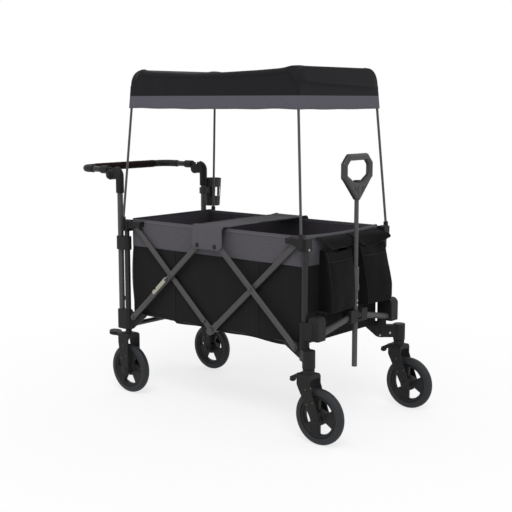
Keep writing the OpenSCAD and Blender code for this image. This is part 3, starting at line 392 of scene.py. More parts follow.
@dataclass(frozen=True)
class GrainLeather(Finish):
    """Wrapped and stitched grip leather, dyed and waxed: pebbled grain, with painted shade in its creases.
    """

    wax_mm: float = 30.0
    grain_mm: float = 3.0  # real pebbles are about 1 mm; drawn coarser so that they show

    def dress(self, tree: Tree, shader: Node) -> None:
        """Adds the pebbles, painted shade in their creases, and a waxed, uneven gloss.

        Args:
            tree: Node tree of the material.
            shader: Its Principled shader.
        """
        place = add_node(tree, "TexCoord").outputs["Object"]
        pebbles = add_node(tree, "TexVoronoi", {"Vector": place, "Scale": 1 / (self.grain_mm * MM)},
                           feature="DISTANCE_TO_EDGE")
        wax = add_node(tree, "TexNoise", {"Vector": place, "Scale": 1 / (self.wax_mm * MM), "Detail": 4.0})
        deep = add_node(tree, "Math", {0: pebbles.outputs["Distance"], 1: 4.0}, operation="MULTIPLY",
                        use_clamp=True)
        # Painted shade: the colour darkens to 0.6 of itself where the pebbles' creases dip.
        self.tint(tree, shader, deep.outputs[0], 0.6, 1.25)
        self.rough(tree, shader, wax.outputs["Fac"], 0.12)
        self.relief(tree, shader, deep.outputs[0], 0.4 * MM, 0.25)


@dataclass(frozen=True)
class ZincSteel(Finish):
    """Zinc-plated steel, stamped or turned: grey metal with faint clouds in its polish."""

    cloud_mm: float = 6.0

    def dress(self, tree: Tree, shader: Node) -> None:
        """Adds the clouds in the polish.

        Args:
            tree: Node tree of the material.
            shader: Its Principled shader.
        """
        place = add_node(tree, "TexCoord").outputs["Object"]
        cloud = add_node(tree, "TexNoise",
                         {"Vector": place, "Scale": 1 / (self.cloud_mm * MM), "Detail": 4.0})
        self.tint(tree, shader, cloud.outputs["Fac"], 0.8, 1.15)
        self.rough(tree, shader, cloud.outputs["Fac"], 0.1)
        set_inputs(shader, {"Metallic": 1.0})


FRAME_COAT = PowderCoat("satin_powder_coat_graphite", "frame_steel", "#1c1b1d", 0.34)
# Painted light: the same powder coat as FRAME_COAT, made lighter for the poles, uprights and hoops in place
# of the even light they catch.
LIT_FRAME_COAT = PowderCoat("satin_powder_coat_pole", "frame_steel", "#434243", 0.42)
ARM_COAT = PowderCoat("satin_powder_coat_grey", "arm_steel", "#413f40", 0.45)
MOULDING = MouldedNylon("moulded_nylon_black", "moulding", "#1b1919", 0.55)
RIM_NYLON = MouldedNylon("moulded_nylon_rim", "moulding", "#1b1b1d", 0.5)
CUP_NYLON = MouldedNylon("moulded_nylon_cup", "moulding", "#3e3c3d", 0.55)
GRIP_NYLON = MouldedNylon("moulded_nylon_pull_grip", "moulding", "#2f2e2f", 0.4, gloss=0.45, grain=0.03)
TYRE = FoamTyre("foamed_polyurethane_tyre", "tyre_rubber", "#25272a", 0.55)
BLACK_CLOTH = WovenCloth("polyester_600d_black", "basket_cloth", "#19191a", 0.78)
POCKET_CLOTH = WovenCloth("polyester_600d_pocket_black", "basket_cloth", "#121213", 0.9, gloss=0.06)
GREY_CLOTH = WovenCloth("polyester_melange_grey", "grey_cloth", "#514f54", 0.85, slub=0.22)
LIGHT_CLOTH = WovenCloth("polyester_melange_light_grey", "grey_cloth", "#535156", 0.85, slub=0.22)
LINING = WovenCloth("polyester_lining_plum_grey", "grey_cloth", "#464349", 0.8, slub=0.1)
RIM_BINDING = WovenCloth("polyester_binding_grey", "grey_cloth", "#535056", 0.8, seams=(2.5 * MM,))
CANOPY_CLOTH = WovenCloth("polyester_coated_black", "canopy_cloth", "#1b1a1d", 0.72)
CANOPY_BAND = WovenCloth("polyester_melange_canopy_band", "grey_cloth", "#55535b", 0.85, slub=0.2)
WEBBING = WovenCloth("polypropylene_webbing_black", "basket_cloth", "#171718", 0.7, thread_mm=4.0,
                     weave=0.25, seams=(3.5 * MM, 28.5 * MM), seam_axis=0, seam_colour="#242425")
LEATHER = GrainLeather("waxed_leather_dark_brown", "grip_leather", "#150a05", 0.7, gloss=0.08)
BARE_STEEL = ZincSteel("zinc_plated_steel", "hook_metal", "#a9a79a", 0.38, gloss=0.5)
BROWN_STEEL = ZincSteel("browned_steel", "hook_metal", "#4a443a", 0.42, gloss=0.5)


def pick_only(obj: Piece) -> None:
    """Makes obj the active object and the only one selected.

    Args:
        obj: Object to select.
    """
    bpy.ops.object.select_all(action="DESELECT")
    obj.select_set(True)
    bpy.context.view_layer.objects.active = obj


def new_object(name: str, data: bpy.types.ID) -> Piece:
    """Makes an object from its data and links it to the scene.

    Args:
        name: Name of the object.
        data: Mesh, curve, camera or light that it shows.

    Returns:
        The new object.
    """
    obj = bpy.data.objects.new(name, data)
    bpy.context.scene.collection.objects.link(obj)
    return obj


@contextmanager
def editing(obj: Piece) -> Iterator[None]:
    """Holds a mesh in edit mode, with all of it selected.

    Args:
        obj: Mesh to edit.

    Yields:
        Nothing; the mesh is in edit mode meanwhile.
    """
    pick_only(obj)
    bpy.ops.object.mode_set(mode="EDIT")
    bpy.ops.mesh.select_all(action="SELECT")
    yield
    bpy.ops.object.mode_set(mode="OBJECT")


def apply_modifier(obj: Piece, kind: str, **settings: object) -> None:
    """Adds a modifier with its settings and applies it.

    Args:
        obj: Mesh that it changes.
        kind: Type name of the modifier.
        settings: Properties of the modifier.
    """
    pick_only(obj)
    modifier = obj.modifiers.new(kind.lower(), kind)
    for name, value in settings.items():
        setattr(modifier, name, value)
    bpy.ops.object.modifier_apply(modifier=modifier.name)


def clean_mesh(obj: Piece, merge: float = 0.01 * MM, outward: bool = False) -> None:
    """Merges double points, and turns the faces outwards where that is asked.

    Args:
        obj: Mesh to clean.
        merge: Points nearer than this become one.
        outward: True where the mesh is a closed shell whose faces may point inwards.
    """
    with editing(obj):
        bpy.ops.mesh.remove_doubles(threshold=merge)
        if outward:
            bpy.ops.mesh.normals_make_consistent(inside=False)


def flip_faces(obj: Piece) -> None:
    """Turns all faces of a mesh round."""
    with editing(obj):
        bpy.ops.mesh.flip_normals()


def shade_smooth(obj: Piece, angle: float = 40.0) -> None:
    """Shades a mesh smooth where its faces meet at less than the angle in degrees."""
    pick_only(obj)
    bpy.ops.object.shade_smooth_by_angle(angle=math.radians(angle))


def stations(length: float, cells: int, marks: Sequence[float] = ()) -> list[float]:
    """Gives evenly spaced places along a cloth, with the nearest ones moved to the marks.

    Args:
        length: Length of the cloth.
        cells: How many cells it is divided into.
        marks: Places that must be among them.

    Returns:
        Places from 0 to length, in order.
    """
    places = [length * k / cells for k in range(cells + 1)]
    for mark in marks:
        places[min(range(1, cells), key=lambda k: abs(places[k] - mark))] = mark
    return sorted(places)


def sheet_mesh(name: str, us: Sequence[float], vs: Sequence[float], place: Place) -> Piece:
    """Makes a grid of cloth and moves its points to their places.

    Args:
        name: Name of the piece.
        us: Places across the cloth, in metres, which also become its UV map.
        vs: Places up the cloth.
        place: Gives the point in space for each place on the cloth.

    Returns:
        The sheet, one layer thick; seen from its front, u runs to the right and v up.
    """
    columns, rows = len(us) - 1, len(vs) - 1
    bpy.ops.object.select_all(action="DESELECT")
    bpy.ops.mesh.primitive_grid_add(x_subdivisions=columns, y_subdivisions=rows, size=1)
    obj = bpy.context.object
    obj.name = obj.data.name = name
    mesh = obj.data
    cells = [(round((v.co.x + 0.5) * columns), round((v.co.y + 0.5) * rows)) for v in mesh.vertices]
    for vertex, (i, j) in zip(mesh.vertices, cells):
        vertex.co = place(us[i], vs[j])
    layer = mesh.uv_layers.active.data
    for loop in mesh.loops:
        i, j = cells[loop.vertex_index]
        layer[loop.index].uv = (us[i], vs[j])
    return obj


def thicken(obj: Piece, thickness: float, back_slot: int = 0) -> None:
    """Gives a sheet its thickness, behind its front, with another material on its back.

    Args:
        obj: Sheet, one layer thick.
        thickness: Thickness of the cloth.
        back_slot: How many slots further on the material of the back is.
    """
    apply_modifier(obj, "SOLIDIFY", thickness=thickness, offset=-1.0, material_offset=back_slot,
                   use_quality_normals=True)
    shade_smooth(obj, 60)


def paint(obj: Piece, finishes: Sequence[Finish], choose: Choose | None = None) -> None:
    """Gives a piece its finishes.

    Args:
        obj: Piece to paint.
        finishes: Finishes in the order of the slots.
        choose: Slot for the middle point of a face; the first one where it is left out.
    """
    obj.data.materials.clear()
    for finish in finishes:
        obj.data.materials.append(finish.material())
    for face in obj.data.polygons:
        face.material_index = choose(face.center) if choose else 0


def tube(name: str, points: Sequence[Vector], radius: float, closed: bool = False, sides: int = 2) -> Piece:
    """Makes a round cord of cloth or piping along points, as a mesh.

    Args:
        name: Name of the piece.
        points: Points that its middle follows.
        radius: Radius of the cord.
        closed: True where the end joins the start.
        sides: Resolution of its section.

    Returns:
        The cord, with closed ends.
    """
    curve = bpy.data.curves.new(name, "CURVE")
    curve.dimensions = "3D"
    curve.bevel_depth = radius
    curve.bevel_resolution = sides
    curve.use_fill_caps = not closed
    line = curve.splines.new("POLY")
    line.points.add(len(points) - 1)
    for spot, point in zip(line.points, points):
        spot.co = (*point, 1)
    line.use_cyclic_u = closed
    obj = new_object(name, curve)
    pick_only(obj)
    bpy.ops.object.convert(target="MESH")
    clean_mesh(obj, outward=True)
    shade_smooth(obj, 50)
    return obj


def join(name: str, pieces: Sequence[Piece]) -> Piece:
    """Joins meshes of one kind to one piece.

    Args:
        name: Name of the joined piece.
        pieces: Meshes that go into it.

    Returns:
        The joined piece.
    """
    pick_only(pieces[0])
    for piece in pieces:
        piece.select_set(True)
    if len(pieces) > 1:
        bpy.ops.object.join()
    obj = bpy.context.object
    obj.name = obj.data.name = name
    return obj


def ball(radius: float, at: Sequence[float] = (0, 0, 0), segments: int = 24) -> Piece:
    """Adds a sphere with its middle at a place, as the only piece selected.

    Args:
        radius: Radius of the sphere.
        at: Place of its middle.
        segments: How many parts it has round.

    Returns:
        The sphere.
    """
    bpy.ops.object.select_all(action="DESELECT")
    bpy.ops.mesh.primitive_uv_sphere_add(segments=segments, ring_count=segments // 2, radius=radius,
                                         location=at)
    return bpy.context.object


def caps(name: str, body: str, finish: Finish, spots: Spots, radius: float, height: float) -> Piece:
    """Makes low round caps, such as rivet heads and press studs, as one piece.

    Args:
        name: Name of the piece.
        body: Body that it rides on.
        finish: Finish of the caps.
        spots: For each cap the middle of its foot and the direction that it faces.
        radius: Radius of its foot.
        height: How far it stands proud.

    Returns:
        The caps, dressed and riding on their body.
    """
    made = []
    for foot, facing in spots:
        cap = ball(radius, segments=20)
        with editing(cap):
            bpy.ops.mesh.bisect(plane_co=(0, 0, -0.15 * radius), plane_no=(0, 0, 1), clear_inner=True,
                                use_fill=True)
        turn = facing.to_track_quat("Z", "Y").to_matrix()
        for vertex in cap.data.vertices:
            vertex.co = foot + turn @ Vector((vertex.co.x, vertex.co.y, vertex.co.z * height / radius))
        shade_smooth(cap, 50)
        made.append(cap)
    return finish_piece(join(name, made), finish, body)


def piping(name: str, body: str, finish: Finish, points: Sequence[Vector], radius: float,
           closed: bool = False, sides: int = 2) -> Piece:
    """Makes a cord along points, dressed and riding on a body; see tube for the rest."""
    return finish_piece(tube(name, points, radius, closed, sides), finish, body)


def cad_copy(node: str, name: str) -> Piece:
    """Copies a CAD node's mesh as a new piece with merged points.

    Args:
        node: Name of the CAD node.
        name: Name of the new piece.

    Returns:
        The copy, which rides on nothing yet.
    """
    obj = new_object(name, bpy.data.objects[node].data.copy())
    clean_mesh(obj)
    return obj


def mould(node: str, finish: Finish, grit: Grit, rounds: int = 6, share: float = 0.25,
          extras: Sequence[Piece] = ()) -> Piece:
    """Makes a moulded piece from a CAD node, with the round edges that a mould gives.

    Args:
        node: CAD node that the piece replaces.
        finish: Finish of the piece.
        grit: Size of the steps that its surface is rebuilt from.
        rounds: How often the surface is smoothed, which sets the edges' radius.
        share: Share of the faces that are kept.
        extras: Closed meshes that grow into the piece.

    Returns:
        The piece, dressed and riding on the node's body.
    """
    obj = join(f"{node}_moulded", [cad_copy(node, f"{node}_moulded"), *extras])
    apply_modifier(obj, "REMESH", mode="VOXEL", voxel_size=grit.value)
    apply_modifier(obj, "SMOOTH", factor=0.5, iterations=rounds)
    apply_modifier(obj, "DECIMATE", ratio=share)
    shade_smooth(obj, 60)
    return finish_piece(obj, finish, bpy.data.objects[node]["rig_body"], node)


def seat(obj: Piece, body: str, *nodes: str) -> Piece:
    """Lets a piece ride on a body, hides the nodes that it stands for, and reports it.

    Args:
        obj: Finished piece.
        body: Body that it moves with.
        nodes: CAD nodes that it replaces.

    Returns:
        The same piece.
    """
    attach(obj, body)
    if nodes:
        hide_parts(*nodes)
    LOG.info("%s rides on %s, %d faces", obj.name, body, len(obj.data.polygons))
    return obj


def finish_piece(obj: Piece, finish: Finish, body: str, *nodes: str) -> Piece:
    """Gives a piece one finish and seats it on its body."""
    paint(obj, [finish])
    return seat(obj, body, *nodes)


def make_up(sheet: Piece, finishes: Sequence[Finish], thickness: float, body: str, *nodes: str,
            turned: bool = False, choose: Choose | None = None) -> Piece:
    """Makes up a sheet of cloth: dresses it, gives it its thickness and seats it.

    Args:
        sheet: Sheet, one layer thick.
        finishes: Finishes in the order of the slots, with each back after its front.
        thickness: Thickness of the cloth.
        body: Body that it moves with.
        nodes: CAD nodes that it replaces.
        turned: True where the front lies on the other side.
        choose: Slot for the middle point of a face; the first one where it is left out.

    Returns:
        The same sheet.
    """
    if turned:
        flip_faces(sheet)
    paint(sheet, finishes, choose)
    thicken(sheet, thickness, int(len(finishes) > 1))
    return seat(sheet, body, *nodes)


def middle_of(node: str) -> Vector:
    """Gives the middle of a CAD node's box."""
    low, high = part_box(node)
    return (low + high) / 2


def coat(finish: Finish, *nodes: str) -> None:
    """Gives CAD nodes whose shape is right their finish.

    Args:
        finish: Finish of the nodes.
        nodes: Names of the CAD nodes.
    """
    for node in nodes:
        obj = bpy.data.objects[node]
        obj.data.materials.clear()
        obj.data.materials.append(finish.material())
        LOG.info("%s keeps its shape, in %s", node, finish.name)


def smooth_step(value: float) -> float:
    """Gives 0 below 0, 1 above 1, and a smooth rise between."""
    value = min(1.0, max(0.0, value))
    return value * value * (3 - 2 * value)


@dataclass(frozen=True)
class Wave:
    """Uneven waves in cloth or leather: how wide and how high they are, and which ones."""

    size: float
    depth: float
    seed: float = 0.0

    def at(self, x: float, y: float, z: float, turn: float = 0.0) -> float:
        """Gives the waves' height at a point, from -depth to depth; turn picks other waves."""
        seed = self.seed + turn
        return self.depth * noise.noise(Vector((x, y, z)) / self.size + seed * Vector((1.0, 2.3, -1.7)))


@dataclass
class FoldingCloth:
    """What the cloth pieces share: the wagon's middle, and how far the end frames close when it folds."""

    middle: float
    closing: float

    @classmethod
    def from_frame(cls) -> "FoldingCloth":
        """Takes the middle and how far the end frames close from the frame."""
        middle = middle_of("basket_floor").x
        return cls(middle, (1 - FOLD_KEEP) * 2 * (middle - middle_of("rear_posts").x))

    def gather(self, half: float, *pieces: Piece) -> None:
        """Gives each of the pieces its own copy of its mesh; half, the cloth's half length, is not used."""
        for obj in pieces:
            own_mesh(obj)


@dataclass
class Canopy:
    """Roof cloth over the two hoops: one sheet from its hem over the shoulders to the roof's middle."""

    fold: FoldingCloth
    cloth: float = 2.2 * MM
    band: float = 44 * MM
    lean: float = math.radians(4.3)
    tilt: float = math.radians(3.1)
    shoulder: float = 54.4 * MM
    corner: float = 8.1 * MM
    fold_over: float = 5 * MM
    sag: float = 15 * MM
    square: float = 0.66
    face_swell: float = 7 * MM
    face_tuck: float = 4.5 * MM
    edge_puff: float = 4.5 * MM
    crease_at: float = 0.58
    turn_back: float = 52 * MM
    hoop_in: float = 30 * MM
    puff_at: float = 46 * MM
    puff_w: float = 26 * MM
    side_zone: float = 60 * MM
    side_draw: float = 4 * MM
    face_zone: float = 40 * MM
    side_wave: Wave = Wave(70 * MM, 2.2 * MM, 3.1)
    face_wave: Wave = Wave(60 * MM, 0.9 * MM, 5.7)
    hem_wave: Wave = Wave(130 * MM, 4.0 * MM, 2.2)
    roof_wave: Wave = Wave(45 * MM, 2.0 * MM, 8.3)
    roof_dip: float = 1.5 * MM
    hem_in: float = 1.0 * MM
    hem_r: float = 2.4 * MM
    cord_r: float = 1.2 * MM
    cord_out: float = 0.3 * MM
    band_rings: int = 8
    skirt_rings: int = 16
    shoulder_rings: int = 14
    roof_rings: int = 24

    def __post_init__(self) -> None:
        """Takes the canopy's size from its CAD node."""
        low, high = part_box("canopy")
        self.hem, self.top = low.z, high.z
        self.half_x, self.half_y = (high.x - low.x) / 2, (high.y - low.y) / 2
        self.skirt = self.band_rings + self.skirt_rings
        self.count = self.skirt + self.shoulder_rings + self.roof_rings
        self.rings = [self.ring(k) for k in range(self.count + 1)]

    def walls(self, z: float) -> tuple[float, float]:
        """Gives the half length and half width of the leaning walls at a height."""
        up = z - self.hem
        return self.half_x - up * math.tan(self.lean), self.half_y - up * math.tan(self.tilt)

    def ring(self, number: int) -> tuple[float, float, float, float, float]:
        """Gives one ring of the sheet, counted from the hem.

        Args:
            number: Number of the ring.

        Returns:
            Half length, half width, corner radius, height, and share of the full sag.
        """
        bend_z = self.top - self.shoulder
        arc_y = self.walls(bend_z)[1] - self.shoulder
        if number <= self.skirt:
            if number <= self.band_rings:
                z = self.hem + self.band * number / self.band_rings
            else:
                rise = bend_z - self.hem - self.band
                z = self.hem + self.band + rise * (number - self.band_rings) / self.skirt_rings
            return (*self.walls(z), self.corner, z, 0.0)
        if number <= self.skirt + self.shoulder_rings:
            turn = math.pi / 2 * (number - self.skirt) / self.shoulder_rings
            z = bend_z + self.shoulder * math.sin(turn)
            over = max(0.0, 1 - (self.top - z) / self.fold_over)
            x = self.walls(z)[0] - self.fold_over * (1 - math.sqrt(1 - over * over))
            return (x, arc_y + self.shoulder * math.cos(turn), self.corner, z, 1 - math.cos(turn))
        share = (self.count - number) / self.roof_rings
        top_x = self.walls(self.top)[0] - self.fold_over
        return (top_x * share, arc_y * share, self.corner * share, self.top, 1.0)

    def point(self, u: float, v: float) -> Vector:
        """Gives the sheet's point for a place in a square whose edge is the hem.

        Args:
            u: From -1 to 1 along the wagon.
            v: From -1 to 1 across it.

        Returns:
            The point in space.
        """
        reach = max(abs(u), abs(v))
        number = round((1 - reach) * self.count)
        x, y, r, z, share = self.rings[number]
        if reach < 1e-9:
            return Vector((self.fold.middle, 0, z - self.sag))
        p, q = math.sin(math.pi / 2 * u / reach), math.sin(math.pi / 2 * v / reach)
        px, py = abs(p) * x, abs(q) * y
        if px > x - r and py > y - r and r > 0:
            if abs(u) >= abs(v):
                turn = math.pi / 4 * (py - (y - r)) / r
            else:
                turn = math.pi / 2 - math.pi / 4 * (px - (x - r)) / r
            px, py = x - r + r * math.cos(turn), y - r + r * math.sin(turn)
        spot = Vector((math.copysign(px, u), math.copysign(py, v), z))
        inside = max(0.0, 1 - (spot.x / (self.half_x - self.hoop_in)) ** 2)
        turn = math.pi / 2 * (number - self.skirt) / self.shoulder_rings
        if 0 < turn < math.pi / 2 - 1e-6:
            power = 1 - self.square * smooth_step(8 * inside)
            share = math.sin(turn) ** power
            spot.y += math.copysign(self.shoulder * (math.cos(turn) ** power - math.cos(turn)), spot.y)
            spot.z += self.shoulder * (share - math.sin(turn))
            behind = (self.half_x - abs(spot.x) - self.puff_at) / self.puff_w
            spot.z += self.edge_puff * share * math.exp(-behind * behind)
        spot.z -= self.sag * share * inside
        return self.crease(spot, share, inside) + Vector((self.fold.middle, 0, 0))

    def crease(self, spot: Vector, share: float, inside: float) -> Vector:
        """Adds the cloth's slack: skirts drawn in between the hoops, a crossways crease and soft waves.

        Args:
            spot: Point of the even sheet, about the wagon's middle.
            share: 0 on the skirts, 1 on the roof.
            inside: 0 at the hoops, 1 in the middle of the length.

        Returns:
            The point of the slack sheet.
        """
        high = (spot.z - self.hem) / (self.top - self.hem)
        clear = smooth_step(2.2 * inside)
        if abs(spot.y) > self.half_y - self.side_zone:
            wave = self.side_wave.at(spot.x, 0, spot.z * 0.4) * clear
            spot.y -= math.copysign((self.side_draw * inside + wave) * (1 - share), spot.y)
        between = 1 - (spot.y / self.half_y) ** 2
        if abs(spot.x) > self.half_x - self.face_zone:
            line = self.crease_at + 0.06 * spot.y / self.half_y * math.copysign(1, -spot.x)
            swell = self.face_swell * max(0.0, min(high / line, (1 - high) / (1 - line)))
            tuck = self.face_tuck * smooth_step((line - high) / 0.04) * min(1.0, high / 0.3)
            wave = self.face_wave.at(0, spot.y, spot.z * 0.5) * (high < 0.9)
            spot.x += math.copysign(max(0.0, swell - tuck + wave) * smooth_step(3 * between), spot.x)
        low_edge = max(0.0, 1 - high / 0.2)
        spot.z += low_edge * self.hem_wave.at(spot.x, spot.y, 0)
        spot.z += share * clear * (self.roof_wave.at(spot.x * 0.35, spot.y, 0) - self.roof_dip * between)
        return spot

    def build(self) -> None:
        """Makes the sheet with its band, the piping along the hem and the corner seams."""
        lines = [k / self.count - 1 for k in range(2 * self.count + 1)]
        sheet = sheet_mesh("canopy_sheet", lines, lines, self.point)
        self.lay_cloth(sheet)
        paint(sheet, [CANOPY_CLOTH, CANOPY_BAND], self.slot)
        thicken(sheet, self.cloth)
        seat(sheet, "rear_top", "canopy")
        trims = [self.hem_piping(), self.edge_seams()]
        for trim in trims:
            paint(trim, [CANOPY_CLOTH, CANOPY_BAND], self.slot)
            seat(trim, "rear_top")
        self.fold.gather(self.half_x, sheet, *trims)

    def slot(self, middle: Vector) -> int:
        """Gives a face's slot: 1 on the band along the hem, 0 above it."""
        return int(middle.z < self.hem + self.band)

    def lay_cloth(self, sheet: Piece) -> None:
        """Lays the weave along each face of the canopy: up the skirts and across the roof.

        Args:
            sheet: The canopy, one layer thick.
        """
        layer = sheet.data.uv_layers.active.data
        for face in sheet.data.polygons:
            normal = face.normal
            for index in face.loop_indices:
                spot = sheet.data.vertices[sheet.data.loops[index].vertex_index].co
                if abs(normal.x) > 0.7:
                    layer[index].uv = (spot.y, spot.z)
                elif abs(normal.z) > 0.7:
                    layer[index].uv = (spot.x, spot.y)
                else:
                    layer[index].uv = (spot.x, spot.z)

    def hem_piping(self) -> Piece:
        """Makes the rolled hem round the lower edge, its middle a little inside the sheet.

        Returns:
            The hem, a closed cord.
        """
        steps = self.count // 2
        sweep = [k / steps - 1 for k in range(2 * steps)]
        edge = [(s, -1) for s in sweep] + [(1, s) for s in sweep]
        edge += [(-s, 1) for s in sweep] + [(-1, -s) for s in sweep]
        points = []
        for u, v in edge:
            spot = self.point(u, v)
            points.append(spot - self.hem_in * Vector((spot.x - self.fold.middle, spot.y, 0)).normalized())
        return tube("canopy_hem", points, self.hem_r, closed=True)

    def on_sheet(self, number: float, back: float, su: int, sv: int) -> Vector:
        """Gives a point between two rings of a long side.

        Args:
            number: Number of the ring, with its fraction.
            back: How far the point lies from the ring's end.
            su: Sign of the end.
            sv: Sign of the side.

        Returns:
            The point, a little outside the sheet.
        """
        lower = int(number)
        ends = []
        for ring in (lower, lower + 1):
            reach = 1 - ring / self.count
            along = 2 / math.pi * math.asin(max(-1.0, 1 - back / self.rings[ring][0]))
            ends.append(self.point(su * along * reach, sv * reach))
        return ends[0].lerp(ends[1], number - lower) + self.cord_out * Vector((0, sv, 0))

    def edge_seams(self) -> Piece:
        """Makes the corded seam of each side panel: up a corner, along the roof's edge and down again.

        Returns:
            Both seams as one piece.
        """
        start, cords = self.skirt - 4, []
        flat = self.half_x - self.turn_back
        for sv in (-1, 1):
            ends = []
            for su in (1, -1):
                path = [(float(k), 0.0) for k in range(start)]
                for k in range(13):
                    turn = math.pi / 2 * k / 12
                    path.append((start + 6 * math.sin(turn), self.turn_back * (1 - math.cos(turn))))
                path += [(start + 6.0, self.turn_back + flat * k / 24) for k in range(1, 24)]
                ends.append([self.on_sheet(number, back, su, sv) for number, back in path])
            cords.append(tube("cord", ends[0] + ends[1][::-1], self.cord_r))
        return join("canopy_edge_seams", cords)


@dataclass
class Basket:
    """Cloth tub between the posts: sides and end walls with a grey band, a floor mat and their trim."""

    fold: FoldingCloth
    cloth: float = 3 * MM
    band_z: float = 575 * MM
    lip: float = 0.9 * MM
    step: float = 1.2 * MM
    gap: float = 0.4 * MM
    tape_w: float = 32 * MM
    tape_x: tuple[float, float] = (-205 * MM, 199 * MM)
    tape_t: float = 1.6 * MM
    binding_h: float = 9 * MM
    binding_t: float = 0.8 * MM
    binding_r: float = 2.4 * MM
    binding_in: float = 1.6 * MM
    binding_down: float = 1.2 * MM
    binding_wave: Wave = Wave(40 * MM, 0.3 * MM, 7.0)
    tape_fade: float = 45 * MM
    tape_edge: float = 3 * MM
    tape_swell: float = 0.25 * MM
    tape_out: float = 0.05 * MM
    fold_h: float = 1.5 * MM
    fold_pitch: float = 105 * MM
    pillow: Wave = Wave(130 * MM, 3.0 * MM)
    slack_least: float = 0.6 * MM
    slack_mean: float = 2.6 * MM
    band_wave: Wave = Wave(90 * MM, 0.6 * MM, 4.0)
    band_in: float = 0.7 * MM
    end_fade: float = 40 * MM
    hem_up: float = 8 * MM
    hem_step: float = 20 * MM
    droop_rear: float = 3 * MM
    droop_ahead: float = 5 * MM
    droop_wave: float = 2.6 * MM
    droop_pitch: float = 38 * MM
    wall_wave: Wave = Wave(110 * MM, 1.0 * MM, 9.0)
    wall_in: float = 1.0 * MM
    wall_edge: float = 3 * MM
    wall_tuck: float = 60 * MM
    roll_in: float = 1.5 * MM
    roll_up: float = 4.5 * MM
    mat_wave: Wave = Wave(80 * MM, 0.6 * MM, 2.0)
    mat_edge: float = 12 * MM
    mat_in: float = 1.4 * MM
    mat_swell: float = 1.6 * MM
    mat_dip: float = 2.2 * MM
    mat_dip_w: float = 5 * MM
    mat_t: float = 2.2 * MM
    cord_r: float = 1.6 * MM
    cord_foot: float = 14 * MM
    lower_r: float = 2.6 * MM
    lower_in: float = 2.4 * MM
    bulge: float = 32 * MM
    rear_roll: float = 2.8 * MM
    front_roll: float = 7 * MM
    front_dip: float = 6 * MM
    seam_cords: tuple[float, ...] = (-300 * MM, -190 * MM, 190 * MM, 300 * MM)

    def __post_init__(self) -> None:
        """Takes the tub's size from its CAD nodes."""
        low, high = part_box("basket_side_left")
        self.half_x, self.face_y = (high.x - low.x) / 2, high.y
        self.low, self.rim = low.z, high.z
        self.height = self.rim - self.low
        self.seam = self.band_z - self.low

    def rows(self) -> list[float]:
        """Gives the rows up a panel, with two close together at the band's lower edge."""
        rows = stations(self.height, 56, [self.seam])
        return sorted([*rows, self.seam + self.step])

    def slack(self, spot: Vector, seed: float) -> float:
        """Gives how far the lower panel hangs in: pillows between the tapes, and upright folds.

        Args:
            spot: Point of the even panel.
            seed: Sets which folds and pillows there are.

        Returns:
            The distance across the wagon.
        """
        x = spot.x - self.fold.middle
        up = (spot.z - self.low) / self.height
        free = min(smooth_step((abs(x - tape) - self.tape_w / 2) / self.tape_fade) for tape in self.tape_x)
        pull = noise.noise(Vector((x * 6, spot.z * 3, seed)))
        folds = self.fold_h * math.sin(2 * math.pi * (x + 0.45 * spot.z) / self.fold_pitch + 4 * pull)
        pillow = self.pillow.at(spot.x, 0, spot.z * 0.6, seed)
        hang = self.slack_mean + pillow + folds * smooth_step(3 * up) * (1 - up)
        return self.slack_least + max(0.0, hang) * free

    def hem(self, x: float) -> float:
        """Gives how far a side's lower edge lies above the CAD panel's: up at the rear, drooping ahead.

        Args:
            x: Place along the side, from the wagon's middle.

        Returns:
            The height, below 0 where it droops.
        """
        ahead = smooth_step((x - self.tape_x[0]) / self.hem_step)
        droop = self.droop_rear + self.droop_ahead * smooth_step(x / self.half_x)
        droop += self.droop_wave * math.sin(x / self.droop_pitch)
        return self.hem_up * (1 - ahead) - droop * ahead

    def inset(self, side: Side, u: float, v: float) -> float:
        """Gives how far a side's outer face lies in from the CAD panel's.

        Args:
            side: Which side.
            u: Place along the cloth.
            v: Place up the cloth.

        Returns:
            The distance across the wagon.
        """
        spot = Vector((self.fold.middle + u - self.half_x, 0, self.low + v))
        ends = smooth_step(min(u, 2 * self.half_x - u) / self.end_fade)
        if v > self.seam + self.step / 2:
            return self.band_wave.at(*spot, side.value) * ends + self.band_in
        return self.slack(spot, 1.3 + side.value) * ends + self.lip

    def panel(self, sheet: Piece, body: str, node: str, turned: bool) -> Piece:
        """Makes up a side or wall: grey above the band's lower edge, black below it, lined inside."""
        return make_up(sheet, [GREY_CLOTH, LINING, BLACK_CLOTH, LINING], self.cloth - self.gap, body, node,
                       turned=turned, choose=lambda middle: 0 if middle.z > self.band_z else 2)

    def side(self, side: Side) -> None:
        """Makes one long side with its lining, tapes and rim binding.

        Args:
            side: Which side.
        """
        def place(u: float, v: float) -> Vector:
            """Place on the side's outer face.

            Args:
                u: Place along the cloth.
                v: Place up it.

            Returns:
                The point in space.
            """
            lift = self.hem(u - self.half_x) * max(0.0, 1 - v / self.seam)
            y = side.value * (self.face_y - self.inset(side, u, v))
            return Vector((self.fold.middle + u - self.half_x, y, self.low + v + lift))

        us = stations(2 * self.half_x, 108)
        sheet = sheet_mesh(f"basket_side_cloth_{side.label}", us, self.rows(), place)
        self.panel(sheet, "rear_top", f"basket_side_{side.label}", side is Side.LEFT)
        trims = [self.tapes(side), self.binding(side), self.lower_piping(side), self.lining_seams(side)]
        self.fold.gather(self.half_x, sheet, *trims)

    def tapes(self, side: Side) -> Piece:
        """Makes the webbing tapes sewn up the lower panel.

        Args:
            side: Which side.

        Returns:
            The side's tapes as one piece.
        """
        strips = []
        for middle in self.tape_x:
            def place(u: float, v: float, x: float = middle) -> Vector:
                """Place on the tape's outer face."""
                edge = self.tape_swell * smooth_step(min(u, self.tape_w - u) / self.tape_edge)
                return Vector((self.fold.middle + x + u - self.tape_w / 2,
                               side.value * (self.face_y + self.tape_out + edge), self.low + v))

